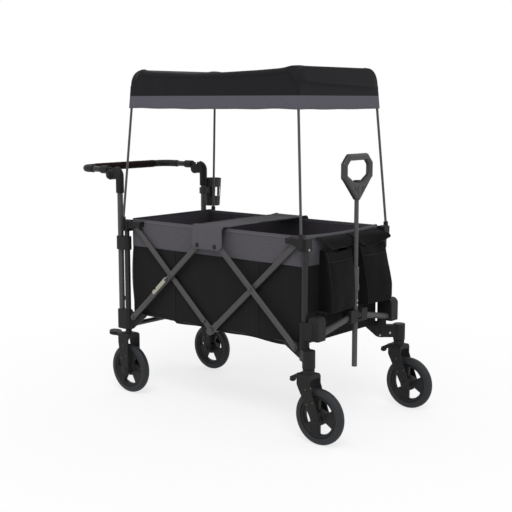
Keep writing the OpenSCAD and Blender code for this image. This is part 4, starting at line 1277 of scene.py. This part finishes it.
            strip = sheet_mesh("tape", stations(self.tape_w, 8), stations(self.seam, 40), place)
            if side is Side.LEFT:
                flip_faces(strip)
            thicken(strip, self.tape_t)
            strips.append(strip)
        return finish_piece(join(f"basket_tapes_{side.label}", strips), WEBBING, "rear_top")

    def binding(self, side: Side) -> Piece:
        """Makes the bound edge along a side's rim: a tape folded over the edge and stitched.

        Args:
            side: Which side.

        Returns:
            The binding.
        """
        path = 2 * self.binding_h + math.pi * self.binding_r

        def place(u: float, v: float) -> Vector:
            """Place on the folded tape, from its outer lower edge over the rim.

            Args:
                u: Place along the rim.
                v: Place across the tape.

            Returns:
                The point in space.
            """
            turn = min(math.pi, max(0.0, (v - self.binding_h) / self.binding_r))
            drop = max(0.0, self.binding_h - v) + max(0.0, v - path + self.binding_h)
            wave = self.binding_wave.at(u, v, 0)
            y = side.value * (self.face_y - self.binding_in + (self.binding_r + wave) * math.cos(turn))
            z = self.rim - self.binding_down + self.binding_r * math.sin(turn) - drop
            return Vector((self.fold.middle + u - self.half_x, y, z))

        us, vs = stations(2 * self.half_x, 90), stations(path, 18)
        tape = sheet_mesh(f"basket_rim_binding_{side.label}", us, vs, place)
        return make_up(tape, [RIM_BINDING], self.binding_t, "rear_top", turned=side is Side.LEFT)

    def lower_piping(self, side: Side) -> Piece:
        """Makes the corded seam along a side's lower edge.

        Args:
            side: Which side.

        Returns:
            The seam.
        """
        y = side.value * (self.face_y - self.lower_in)
        points = [Vector((self.fold.middle + x, y, self.low + self.hem(x)))
                  for x in (self.half_x * (k / 40 - 1) for k in range(81))]
        return piping(f"basket_lower_piping_{side.label}", "rear_top", BLACK_CLOTH, points, self.lower_r)

    def lining_seams(self, side: Side) -> Piece:
        """Makes the corded seams that run down the lining.

        Args:
            side: Which side.

        Returns:
            The side's seams as one piece.
        """
        foot, behind, cords = self.cord_foot, self.face_y - self.cloth - self.gap, []
        for x in self.seam_cords:
            points = []
            for v in stations(self.height - self.binding_h - foot, 30):
                y = behind - self.inset(side, self.half_x + x, foot + v)
                points.append(Vector((self.fold.middle + x, side.value * y, self.low + foot + v)))
            cords.append(tube("cord", points, self.cord_r))
        return finish_piece(join(f"basket_lining_seams_{side.label}", cords), LINING, "rear_top")

    def end_wall(self, end: End) -> None:
        """Makes an end wall, drawn out a little between its posts, with its rim binding.

        Args:
            end: Which end.
        """
        node = f"basket_{end.label}_wall"
        low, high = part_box(node)
        width = high.y - low.y
        face = high.x if end is End.FRONT else low.x
        if end is End.FRONT:
            push, roll, dip, finish = 0.0, self.front_roll, self.front_dip, LIGHT_CLOTH
        else:
            push, roll, dip, finish = self.bulge, self.rear_roll, 0.0, LINING
        swell_top = self.height - self.wall_tuck

        def place(u: float, v: float) -> Vector:
            """Place on the wall's outer face.

            Args:
                u: Place across the wagon.
                v: Place up the cloth.

            Returns:
                The point in space.
            """
            spot = Vector((face, low.y + u, self.low + v))
            across = max(0.0, 1 - abs(spot.y / (width / 2 - self.wall_edge)) ** 24)
            up = math.sin(math.pi * v / swell_top) ** 0.6 if v < swell_top else 0.0
            lip = 0.0 if v > self.seam + self.step / 2 else self.lip
            out = (push * up + self.wall_wave.at(*spot)) * across - lip - self.wall_in
            spot.x += end.value * out
            spot.z -= dip * (1 - (2 * spot.y / width) ** 2) * (v / self.height) ** 3
            return spot

        wall = sheet_mesh(f"{node}_cloth", stations(width, 60), self.rows(), place)
        self.panel(wall, end.top_body, node, end is End.REAR)
        x, top = face - end.value * self.roll_in, self.rim + self.roll_up - roll
        points = [Vector((x, (width / 2 - roll) * s, top - dip * (1 - s * s)))
                  for s in (k / 20 - 1 for k in range(41))]
        trim = piping(f"{node}_piping", end.top_body, finish, points, roll, sides=4)

    def floor(self) -> None:
        """Makes the floor mat, with dips along the fold lines across it."""
        low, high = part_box("basket_floor")
        size_x, size_y = high.x - low.x, high.y - low.y
        fold_lines = [size_x * k / 4 for k in (1, 2, 3)]

        def place(u: float, v: float) -> Vector:
            """Place on the mat's upper face.

            Args:
                u: Place along the wagon.
                v: Place across it.

            Returns:
                The point in space.
            """
            near = min(abs(u - line) for line in fold_lines)
            edge = smooth_step(min(u, size_x - u, v, size_y - v) / self.mat_edge)
            dip = self.mat_dip * math.exp(-(near / self.mat_dip_w) ** 2)
            swell = self.mat_swell + self.mat_wave.at(u, v, 0) - dip
            return Vector((low.x + u, low.y + v, high.z - self.mat_in + swell * edge))

        mat = sheet_mesh("basket_floor_mat", stations(size_x, 120, fold_lines), stations(size_y, 60), place)
        make_up(mat, [LINING, BLACK_CLOTH], self.mat_t, "rear_top", "basket_floor")
        self.fold.gather(self.half_x, mat)

    def build(self) -> None:
        """Makes the whole tub."""
        for side in Side:
            self.side(side)
        for end in End:
            self.end_wall(end)
        self.floor()


@dataclass
class BridgeStrap:
    """Wide cloth strap across the tub, with a flap hanging over each side and two press studs on it."""

    fold: FoldingCloth
    cloth: float = 2.4 * MM
    sag: float = -2 * MM
    lift: float = 2 * MM
    corner: float = 20 * MM
    hem_lift: float = 10 * MM
    puff: float = 4 * MM
    puff_at: float = 16 * MM
    puff_w: float = 20 * MM
    wave: Wave = Wave(50 * MM, 1.2 * MM, 6.0)
    flat_fade: float = 30 * MM
    hang_fade: float = 12 * MM
    hang_in: float = 0.8 * MM
    edge_puff: float = 1.2 * MM
    edge_w: float = 7 * MM
    stud_x: tuple[float, float] = (-47 * MM, 37 * MM)
    stud_up: float = 12 * MM
    stud_in: float = 0.6 * MM
    stud_r: float = 8.6 * MM
    stud_h: float = 2.8 * MM
    piping_r: float = 1.7 * MM
    round: float = 9 * MM

    def __post_init__(self) -> None:
        """Takes the strap's size from its CAD node."""
        low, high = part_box("basket_side_left")
        self.reach = (high.x - low.x) / 2
        low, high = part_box("bridge_strap")
        self.half_w, self.half_y = (high.x - low.x) / 2, high.y
        self.low, self.top = low.z + self.hem_lift, high.z
        self.drop = self.top - self.low
        self.path = 2 * (self.drop - self.round) + math.pi * self.round + 2 * (self.half_y - self.round)

    def section(self, v: float) -> tuple[float, float]:
        """Gives a point of the strap's middle line.

        Args:
            v: Length from the right flap's end.

        Returns:
            Y and Z.
        """
        straight, bend = self.drop - self.round, math.pi / 2 * self.round
        flip = v > self.path / 2
        at = self.path - v if flip else v
        if at < straight:
            y, z = -self.half_y, self.low + at
        elif at < straight + bend:
            turn = (at - straight) / self.round
            y = -self.half_y + self.round * (1 - math.cos(turn))
            z = self.low + straight + self.round * math.sin(turn)
        else:
            y, z = -self.half_y + self.round + at - straight - bend, self.top
        level = max(0.0, 1 - (y / (self.half_y - self.round)) ** 2)
        return (-y if flip else y), z - self.sag * level

    def place(self, u: float, v: float) -> Vector:
        """Gives the strap's outer face at a place on its cloth.

        Args:
            u: Place across the strap.
            v: Place along it.

        Returns:
            The point in space.
        """
        y, z = self.section(v)
        end = min(v, self.path - v)
        half = self.half_w
        if end < self.corner:
            half += math.sqrt(self.corner ** 2 - (self.corner - end) ** 2) - self.corner
        across = u / self.half_w - 1
        x = across * half
        inwards = self.half_y - abs(y)
        flat = smooth_step((inwards > 1e-6) * min(1.0, inwards / self.flat_fade))
        roll = math.exp(-((inwards - self.puff_at) / self.puff_w) ** 2)
        z += self.puff * roll * smooth_step(inwards / self.round)
        z += flat * (self.lift * (across ** 2 - 0.35) + self.wave.at(x, y, 0))
        hang = 1 - smooth_step(inwards / self.hang_fade)
        puff = self.edge_puff * math.exp(-((1 - abs(across)) * self.half_w / self.edge_w) ** 2)
        y -= math.copysign(max(0.0, self.hang_in - puff) * hang, y)
        return Vector((self.fold.middle + x, y, z))

    def build(self) -> None:
        """Makes the strap, the piping round its edge and its press studs."""
        us, vs = stations(2 * self.half_w, 36), stations(self.path, 140)
        sheet = sheet_mesh("bridge_strap_cloth", us, vs, self.place)
        make_up(sheet, [LIGHT_CLOTH, LINING], self.cloth, "rear_top", "bridge_strap")
        edge = [self.place(0.0, v) for v in vs[1:]] + [self.place(u, self.path) for u in us[1:]]
        edge += [self.place(2 * self.half_w, v) for v in reversed(vs[:-1])]
        edge += [self.place(u, 0) for u in reversed(us[:-1])]
        trim = piping("bridge_strap_piping", "rear_top", GREY_CLOTH, edge, self.piping_r, closed=True)
        y, z = self.half_y - self.stud_in, self.low + self.stud_up
        spots = [(Vector((self.fold.middle + x, side.value * y, z)), side.out)
                 for side in Side for x in self.stud_x]
        studs = caps("bridge_strap_studs", "rear_top", MOULDING, spots, self.stud_r, self.stud_h)
        self.fold.gather(self.reach, sheet, trim, studs)


@dataclass(frozen=True)
class FlapForm:
    """How one pocket flap is cut and how it hangs."""

    inner_cut: float
    outer_cut: float
    outer_in: float = 0.0
    curl_out: float = 0.0
    curl_up: float = 0.0
    droop: float = 0.0


@dataclass
class FrontPockets:
    """Two cargo pockets on the front wall, with pleated gussets, a flat outer pocket and a lifting flap."""

    cloth: float = 2 * MM
    gusset: int = 10
    front: int = 44
    pleat: float = 8 * MM
    hem_z: float = 586 * MM
    flat_t: float = 2.4 * MM
    mouth_sag: float = 5 * MM
    off_wall: float = 0.2 * MM
    front_wave: Wave = Wave(45 * MM, 2.4 * MM, 11.0)
    flap_wave: Wave = Wave(50 * MM, 1.4 * MM, 13.0)
    flap_root: float = 11 * MM
    flap_bow: float = 15 * MM
    hem_r: float = 2.2 * MM
    cord_r: float = 1.6 * MM
    binding_r: float = 1.8 * MM

    def __post_init__(self) -> None:
        """Takes the pockets' size from their CAD nodes."""
        low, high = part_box("front_pockets")
        self.wall_x, self.depth = low.x, high.x - low.x
        self.low, self.high = low.z, high.z
        self.outer = high.y
        self.flap_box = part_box("pocket_flap_left")
        self.inner = self.flap_box[0].y
        self.width = self.outer - self.inner
        self.swell = {Side.RIGHT: 0.08, Side.LEFT: 0.2}
        self.forms = {Side.RIGHT: FlapForm(8 * MM, 20 * MM, 38 * MM),
                      Side.LEFT: FlapForm(44 * MM, 4 * MM, 0.0, 42 * MM, 18 * MM, 14 * MM)}

    def tucks(self, side: Side, height: float, share: float) -> tuple[float, float]:
        """Gives how far a pocket's sides lie in from its full width.

        Args:
            side: Which pocket.
            height: Share of the pocket's height.
            share: 0 on the wall, 1 at the front.

        Returns:
            The distances at the inner and the outer side.
        """
        if side is Side.RIGHT:
            return 0.0, (62 - 25 * share) * MM
        return (28 + 32 * (1 - height)) * MM * share, 24 * MM * (1 - share)

    def profile(self, share: float) -> tuple[float, float]:
        """Gives a point of the outline that a pocket's front has from the side.

        Args:
            share: Share of the way up the cloth.

        Returns:
            Depth from the wall, and height.
        """
        table = [(0.0, 0.0, 0.0), (0.14, 0.8, 0.0), (0.2, 0.95, 0.02), (0.28, 1.0, 0.09), (0.45, 1.0, 0.3),
                 (0.62, 0.93, 0.55), (0.8, 0.84, 0.78), (1.0, 0.7, 0.98)]
        for (s0, d0, z0), (s1, d1, z1) in zip(table, table[1:]):
            if share <= s1:
                f = (share - s0) / (s1 - s0)
                f = f if s0 == 0.0 or s1 == 1.0 else smooth_step(f) * 0.35 + f * 0.65
                rise = (self.high - self.low) * (z0 + (z1 - z0) * f)
                return self.depth * (d0 + (d1 - d0) * f), self.low + rise
        return self.depth * table[-1][1], self.high

    def place(self, side: Side, u: float, v: float) -> Vector:
        """Gives a point of a pocket's outer face.

        Args:
            side: Which pocket.
            u: Cells from the inner edge on the wall, round the front, to the outer edge on the wall.
            v: Share of the way up.

        Returns:
            The point in space.
        """
        deep, z = self.profile(v)
        height = (z - self.low) / (self.high - self.low)
        full = 1 + self.swell[side] * (1 - smooth_step((height - 0.25) / 0.6))
        last = 2 * self.gusset + self.front
        if self.gusset <= u <= last - self.gusset:
            share = (u - self.gusset) / self.front
            inner, outer = self.tucks(side, height, 1.0)
            across = inner + (self.width - inner - outer) * share
            slack = 1 - (2 * share - 1) ** 4
            out = deep * (0.95 + (full - 0.95) * share ** 2 + 0.05 * slack)
            out += self.front_wave.at(across, z, 0, side.value) * slack
            out += (self.flat_t if z < self.hem_z else 0.0) * slack
            z -= self.mouth_sag * slack * smooth_step((v - 0.75) * 4)
        else:
            share = min(u, last - u) / self.gusset
            fold = self.pleat * math.sin(math.pi * share) * smooth_step(6 * v)
            outside = u > self.gusset
            inner, outer = self.tucks(side, height, share)
            across = self.width - fold - outer if outside else fold + inner
            out = deep * share * (full if outside else 0.95)
        return Vector((self.wall_x + max(self.off_wall, out), side.value * (self.inner + across), z))

    def pocket(self, side: Side) -> None:
        """Makes one pocket: a sagging front, gussets that fold inwards, and the hem of its flat pocket.

        Args:
            side: Which pocket.
        """
        last = self.front + 2 * self.gusset
        us, vs = stations(last, last), stations(1, 56)
        sheet = sheet_mesh(f"front_pocket_{side.label}", us, vs, lambda u, v: self.place(side, u, v))
        for loop in sheet.data.uv_layers.active.data:
            loop.uv = (loop.uv.x * self.width / self.front, loop.uv.y * (self.high - self.low + 0.06))
        make_up(sheet, [POCKET_CLOTH, BLACK_CLOTH], self.cloth, "front_top", turned=side is Side.RIGHT)
        edge_v = next(v for v in vs if self.profile(v)[1] >= self.hem_z)
        points = [self.place(side, u, edge_v) for u in us[self.gusset:-self.gusset]]
        cords = [tube("cord", points, self.hem_r)]
        cords += [tube("cord", [self.place(side, us[at], v) for v in vs[12:]], self.cord_r)
                  for at in (self.gusset, -self.gusset - 1)]
        hem = finish_piece(join(f"front_pocket_hem_{side.label}", cords), BLACK_CLOTH, "front_top")
        if side is Side.RIGHT:
            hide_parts("front_pockets")

    def flap(self, side: Side) -> None:
        """Makes one pocket flap: a stiffened cloth flap with its outer corner cut off and a bound edge.

        Args:
            side: Which flap.
        """
        low, high = self.flap_box
        width, run, fall = high.y - low.y, high.x - low.x, high.z - low.z
        length = math.hypot(run, fall)
        us, vs = stations(width, 40), stations(length, 24)
        form = self.forms[side]

        def place(u: float, v: float) -> Vector:
            """Place on the flap's upper face.

            Args:
                u: Place across the flap.
                v: Place along it, from the hinge.

            Returns:
                The point in space.
            """
            share, across = v / length, u / width
            cut = max(0.0, share - 0.42) / 0.58
            full = width - form.outer_in - 16 * MM * max(0.0, share / 0.3 - 2.333) ** 2
            y = form.inner_cut * cut + (full - (form.inner_cut + form.outer_cut) * cut) * across
            stand = across ** 3
            bow = self.flap_bow * math.sin(math.pi * share) ** 0.85 * (1 - (form.curl_up > 0) * 0.7 * stand)
            wave = self.flap_wave.at(u, v, 0, side.value) * share
            x = low.x + (run + form.curl_out * stand) * share + 0.72 * bow + wave
            z = high.z - self.flap_root - (fall - self.flap_root - form.curl_up * stand) * share + 0.69 * bow
            z -= form.droop * math.sin(math.pi * across) * share ** 2
            return Vector((x, side.value * (low.y + y), z + 0.5 * wave))

        sheet = sheet_mesh(f"pocket_flap_cloth_{side.label}", us, vs, place)
        body = f"flap_{side.label}"
        make_up(sheet, [POCKET_CLOTH, LINING], self.cloth, body, f"pocket_{body}", turned=side is Side.LEFT)
        edge = [place(0, v) for v in vs[1:]] + [place(u, length) for u in us[1:]]
        edge += [place(width, v) for v in reversed(vs[1:-1])]
        trim = piping(f"pocket_flap_binding_{side.label}", body, WEBBING, edge, self.binding_r)

    def build(self) -> None:
        """Makes both pockets and both flaps."""
        for side in Side:
            self.pocket(side)
            self.flap(side)


@dataclass
class RollingGear:
    """Four spoked wheels with their tyres, forks, brake pedals and swivel locks."""

    middle: float
    turns: int = 96
    tyre_h: float = 23 * MM
    crown: float = 13 * MM
    bead: float = 2 * MM
    crown_steps: int = 10
    cheek: float = 33 * MM
    bolt_r: float = 4.6 * MM
    bolt_h: float = 2.2 * MM
    rear_stem: tuple[float, float] = (-429 * MM, 235 * MM)
    front_stem: tuple[float, float] = (479 * MM, 277 * MM)
    front_bolts: tuple[tuple[float, float], ...] = ((11, 187), (18, 138), (41, 147), (48, 95))
    rear_bolts: tuple[tuple[float, float], ...] = ((2, 187), (-8, 138), (15, 147), (8, 95))

    def tyre(self, node: str) -> None:
        """Makes a smooth tyre from its CAD node's size: beads on the rim, flat walls and a round crown.

        Args:
            node: CAD node that the tyre replaces.
        """
        low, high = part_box(node)
        middle = (low + high) / 2
        _, half, radius = (high - low) / 2
        inner = radius - self.tyre_h
        section = [(inner, -half + self.bead), (inner + self.bead, -half)]
        for a in stations(math.pi / 2, self.crown_steps):
            section.append((radius - self.crown + self.crown * math.sin(a),
                            -half + self.crown - self.crown * math.cos(a)))
        section += [(r, -y) for r, y in reversed(section)] + [section[0]]

        def place(u: float, v: float) -> Vector:
            """Place on the tyre's skin.

            Args:
                u: Step round the tyre.
                v: Step round its section.

            Returns:
                The point in space.
            """
            r, y = section[int(v)]
            turn = 2 * math.pi * u / self.turns
            return middle + Vector((r * math.cos(turn), y, r * math.sin(turn)))

        last = len(section) - 1
        us, vs = stations(self.turns, self.turns), stations(last, last)
        skin = sheet_mesh(f"{node}_foam", us, vs, place)
        clean_mesh(skin, 0.02 * MM, outward=True)
        shade_smooth(skin, 35)
        finish_piece(skin, TYRE, bpy.data.objects[node]["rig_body"], node)

    def bolts(self, name: str, body: str, stems: Sequence[Vector],
              places: Sequence[tuple[float, float]]) -> None:
        """Adds bolt heads to both faces of fork cheeks.

        Args:
            name: Name of the piece.
            body: Body that it rides on.
            stems: For each fork the foot of its stem on the floor.
            places: Places in mm, ahead of the stem and up.
        """
        spots = [(stem + Vector((x * MM, face * self.cheek, z * MM)), Vector((0, face, 0)))
                 for stem in stems for x, z in places for face in (-1, 1)]
        caps(name, body, BROWN_STEEL, spots, self.bolt_r, self.bolt_h)

    def lever(self, node: str) -> None:
        """Makes a swivel-lock lever with the rounded thumb tab at its end.

        Args:
            node: CAD node that the lever replaces.
        """
        low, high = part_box(node)
        tab = ball(1, (low.x + 10 * MM, (low.y + high.y) / 2, low.z + 5 * MM))
        tab.scale = (11 * MM, (high.y - low.y) / 2, 8 * MM)
        bpy.ops.object.transform_apply(location=True, rotation=True, scale=True)
        mould(node, MOULDING, Grit.LEVER, extras=[tab])

    def build(self) -> None:
        """Makes the wheels, forks and levers."""
        rears, fronts = ([Vector((self.middle + x, side.value * y, 0)) for side in Side]
                         for x, y in (self.rear_stem, self.front_stem))
        self.bolts("rear_fork_bolts", "rear_frame", rears, self.rear_bolts)
        for side, stem in zip(Side, fronts):
            self.bolts(f"caster_fork_bolts_{side.label}", f"caster_{side.label}", [stem], self.front_bolts)
        for end in End:
            for side in Side:
                self.tyre(f"{end.label}_tyre_{side.label}")
                mould(f"{end.label}_wheel_{side.label}", RIM_NYLON, Grit.LARGE)
        mould("rear_forks", MOULDING, Grit.LARGE)
        for side in Side:
            mould(f"caster_fork_{side.label}", MOULDING, Grit.LARGE)
            mould(f"brake_pedal_{side.label}", MOULDING, Grit.SMALL)
            self.lever(f"swivel_lock_{side.label}")


@dataclass
class CarryingFrame:
    """Posts, crossbars, scissor arms, housings, brackets and canopy hoops."""

    middle: float
    rivet_r: float = 6 * MM
    rivet_h: float = 2.0 * MM
    rivet_y: float = 248.2 * MM
    screw_r: float = 4.5 * MM
    screw_h: float = 1.6 * MM
    bracket_screw: tuple[float, float, float] = (17 * MM, 234 * MM, 638 * MM)

    def build(self) -> None:
        """Coats the tubes, rounds the mouldings and adds rivet heads and screws."""
        coat(FRAME_COAT, "rear_posts", "rear_crossbar", "centre_crossbar", "rear_inner_tubes",
             "front_inner_tubes", "front_posts")
        # The uprights and hoops get the frame's coat in its lighter copy, which is painted light.
        coat(LIT_FRAME_COAT, "push_uprights", "rear_canopy_hoop", "front_canopy_hoop")
        coat(ARM_COAT, "scissor_arm_1", "scissor_arm_2", "scissor_arm_3", "scissor_arm_4", "front_crossbar")
        coat(BARE_STEEL, "fold_hook")
        for node in ("rear_housings", "front_housings"):
            mould(node, MOULDING, Grit.LARGE)
        for node in ("upright_bands", "rear_top_brackets", "front_top_brackets"):
            mould(node, MOULDING, Grit.MIDDLE)
        self.rivets()
        self.screws()

    def rivets(self) -> None:
        """Domes the outer rivet heads of the scissor arms."""
        pivots = {"arm_1": [(-197, 480), (0, 659)], "arm_3": [(197, 480)], "rear_frame": [(-394, 301)],
                  "front_frame": [(394, 301)]}
        for body, places in pivots.items():
            spots = [(Vector((self.middle + x * MM, side.value * self.rivet_y, z * MM)), side.out)
                     for x, z in places for side in Side]
            caps(f"rivet_heads_{body}", body, ARM_COAT, spots, self.rivet_r, self.rivet_h)

    def screws(self) -> None:
        """Adds the bright screw heads: on the ends of the top brackets and inside the front housings."""
        for end in End:
            ahead, across, up = self.bracket_screw
            face = middle_of(f"{end.label}_posts").x + end.value * ahead
            spots = [(Vector((face, side.value * across, up)), end.out) for side in Side]
            caps(f"bracket_screws_{end.label}", end.top_body, BARE_STEEL, spots, self.screw_r, self.screw_h)
        places = (((461.6, 242.8, 279), (0.64, -0.77)), ((434, 218, 271), (0, -1)))
        spots = [(Vector((self.middle + x * MM, side.value * y * MM, z * MM)),
                  Vector((dx, dy * side.value, 0))) for side in Side for (x, y, z), (dx, dy) in places]
        caps("housing_screws_front", "front_frame", BARE_STEEL, spots, self.screw_r, self.screw_h)


@dataclass
class PushHandle:
    """Bent handle at the rear: elbows with side buttons, sleeves, a leather grip and the cup holder."""

    seam_angle: float = math.radians(205)
    turns: int = 48
    roll: float = 6 * MM
    end_tuck: float = 3.5 * MM
    seam_deep: float = 0.9 * MM
    seam_w: float = 1.6 * MM
    wave: Wave = Wave(25 * MM, 0.3 * MM, 1.0)

    def grip(self) -> None:
        """Makes the leather grip: a wrapped tube with rolled ends and a sewn seam along it."""
        low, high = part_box("handle_grip")
        middle = (low + high) / 2
        radius, length = (high.z - low.z) / 2, high.y - low.y

        def place(u: float, v: float) -> Vector:
            """Place on the leather.

            Args:
                u: Step round the bar.
                v: Place along it.

            Returns:
                The point in space.
            """
            turn = 2 * math.pi * u / self.turns
            end = min(v, length - v)
            rest = 1 - min(1.0, end / self.roll)
            r = radius - self.end_tuck * (1 - math.sqrt(max(0.0, 1 - rest * rest)))
            gap = math.remainder(turn - self.seam_angle, 2 * math.pi) * radius
            r -= self.seam_deep * math.exp(-(gap / self.seam_w) ** 2) * (end > self.roll)
            r += self.wave.at(0, v, turn * 0.02) - self.wave.depth
            return Vector((middle.x + r * math.cos(turn), low.y + v, middle.z + r * math.sin(turn)))

        us, vs = stations(self.turns, self.turns), stations(length, 120)
        skin = sheet_mesh("handle_grip_leather", us, vs, place)
        clean_mesh(skin, 0.02 * MM)
        with editing(skin):
            bpy.ops.mesh.region_to_loop()
            bpy.ops.mesh.edge_face_add()
            bpy.ops.mesh.select_all(action="SELECT")
            bpy.ops.mesh.normals_make_consistent(inside=False)
        shade_smooth(skin, 50)
        finish_piece(skin, LEATHER, "push_handle", "handle_grip")

    def build(self) -> None:
        """Makes the handle's pieces."""
        coat(FRAME_COAT, "handle_bar")
        mould("elbow_sockets", MOULDING, Grit.MIDDLE)
        mould("handle_elbows", MOULDING, Grit.MIDDLE)
        mould("handle_sleeves", MOULDING, Grit.SMALL, rounds=3)
        mould("cup_holder", CUP_NYLON, Grit.SMALL, rounds=3)
        for side in Side:
            mould(f"elbow_button_{side.label}", RIM_NYLON, Grit.BUTTON)
        self.grip()


@dataclass
class PullHandle:
    """Telescopic pull pole at the front, with its hub and D-shaped grip."""

    stud_z: tuple[float, float] = (439 * MM, 422 * MM)
    stud_x: float = 9.3 * MM
    stud_r: float = 3.8 * MM
    stud_h: float = 2.2 * MM
    leg_r: float = 11.6 * MM
    knee_y: float = 74 * MM
    knee_z: float = 871 * MM

    def leg(self, side: Side) -> Piece:
        """Makes one tapered leg of the grip, from its neck to the loop: the hull of a ring and a ball.

        Args:
            side: Which leg.

        Returns:
            The leg, a closed mesh.
        """
        low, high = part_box("pull_grip")
        x = (low.x + high.x) / 2
        knee = ball(self.leg_r, (x, side.value * self.knee_y, self.knee_z))
        bpy.ops.mesh.primitive_cylinder_add(vertices=32, radius=self.leg_r, depth=3 * MM,
                                            location=(x, 0, low.z + 2 * MM))
        leg = join("grip_leg", [bpy.context.object, knee])
        bpy.ops.object.transform_apply(location=True, rotation=True, scale=True)
        with editing(leg):
            bpy.ops.mesh.convex_hull()
        return leg

    def build(self) -> None:
        """Coats the tubes, rounds the mouldings and adds the spring buttons of the pole."""
        # The pull tubes get the frame's coat in its lighter copy, which is painted light.
        coat(LIT_FRAME_COAT, "pull_outer_tube", "pull_inner_tube")
        coat(MOULDING, "pull_trunnion")
        mould("pull_hub", MOULDING, Grit.MIDDLE)
        mould("pull_grip", GRIP_NYLON, Grit.SMALL, rounds=24, extras=[self.leg(side) for side in Side])
        mould("grip_button", RIM_NYLON, Grit.BUTTON)
        x = middle_of("pull_inner_tube").x + self.stud_x
        spots = [(Vector((x, 0, z)), End.FRONT.out) for z in self.stud_z]
        caps("pull_pole_studs", "pull_outer", BARE_STEEL, spots, self.stud_r, self.stud_h)


@dataclass
class Studio:
    """Pale floor, soft light all round with one broad key, and the camera at the photo's place."""

    middle: float
    camera_ahead: float = 2.5113
    camera_y: float = -2.9734
    camera_z: float = 1.1289
    pitch: float = 8.4677
    azimuth: float = 39.964
    lens: float = 73.63
    dome: float = 0.72
    key: float = 1.15
    floor_white: float = 0.72

    def build(self) -> None:
        """Makes the floor, the light and the camera."""
        self.floor()
        self.light()
        data = bpy.data.cameras.new("camera")
        data.lens, data.sensor_width = self.lens, 36.0
        camera = new_object("camera", data)
        camera.location = (self.middle + self.camera_ahead, self.camera_y, self.camera_z)
        camera.rotation_euler = (math.radians(90 - self.pitch), 0.0, math.radians(self.azimuth))
        bpy.context.scene.camera = camera
        bpy.context.scene.view_settings.view_transform = "Standard"

    def seen(self, tree: Tree) -> Socket:
        """Gives 1 on rays from the camera, a gloss or glass, and 0 on rays that carry light.

        Args:
            tree: Node tree of the floor or the world.

        Returns:
            Socket with that value.
        """
        path = add_node(tree, "LightPath")
        seen = 0.0
        for ray in ("Is Camera Ray", "Is Glossy Ray", "Is Transmission Ray"):
            seen = add_node(tree, "Math", {0: seen, 1: path.outputs[ray]}, operation="MAXIMUM").outputs[0]
        return seen

    def floor(self) -> None:
        """Makes the pale floor, which keeps the wagon's shadow."""
        bpy.ops.object.select_all(action="DESELECT")
        bpy.ops.mesh.primitive_plane_add(size=80)
        floor = bpy.context.object
        floor.name = floor.data.name = "studio_floor"
        material = bpy.data.materials.new("matt_white_paper")
        material.use_nodes = True
        tree = material.node_tree
        shader = tree.nodes["Principled BSDF"]
        set_inputs(shader, {"Base Color": linear("#ffffff"), "Roughness": 0.95, "Specular IOR Level": 0.0})
        share = add_node(tree, "Math", {0: self.seen(tree), 1: self.floor_white}, operation="MULTIPLY")
        white = add_node(tree, "Emission", {"Color": (1, 1, 1, 1), "Strength": 1.0})
        mix = add_node(tree, "MixShader",
                       {0: share.outputs[0], 1: shader.outputs["BSDF"], 2: white.outputs["Emission"]})
        tree.links.new(mix.outputs[0], tree.nodes["Material Output"].inputs["Surface"])
        floor.data.materials.append(material)

    def light(self) -> None:
        """Makes the even dome, white where the camera or a gloss sees it, and the key light."""
        world = bpy.data.worlds.new("studio")
        bpy.context.scene.world = world
        world.use_nodes = True
        tree = world.node_tree
        strength = add_node(tree, "MapRange", {"Value": self.seen(tree), "To Min": self.dome, "To Max": 1.0})
        background = tree.nodes["Background"]
        set_inputs(background, {"Color": (1, 1, 1, 1)})
        tree.links.new(strength.outputs["Result"], background.inputs["Strength"])
        data = bpy.data.lights.new("key", "SUN")
        data.energy, data.angle = self.key, math.radians(28)
        key = new_object("key", data)
        key.rotation_euler = (math.radians(38), math.radians(8), math.radians(28))


def main() -> None:
    """Loads the frame and builds every sub-assembly in order."""
    for obj in list(bpy.data.objects):
        bpy.data.objects.remove(obj)
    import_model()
    bpy.ops.object.select_all(action="DESELECT")
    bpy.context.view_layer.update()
    fold = FoldingCloth.from_frame()
    Studio(fold.middle).build()
    CarryingFrame(fold.middle).build()
    RollingGear(fold.middle).build()
    PushHandle().build()
    PullHandle().build()
    Basket(fold).build()
    BridgeStrap(fold).build()
    FrontPockets().build()
    Canopy(fold).build()
    bpy.context.view_layer.update()


if __name__ == "__main__":
    main()
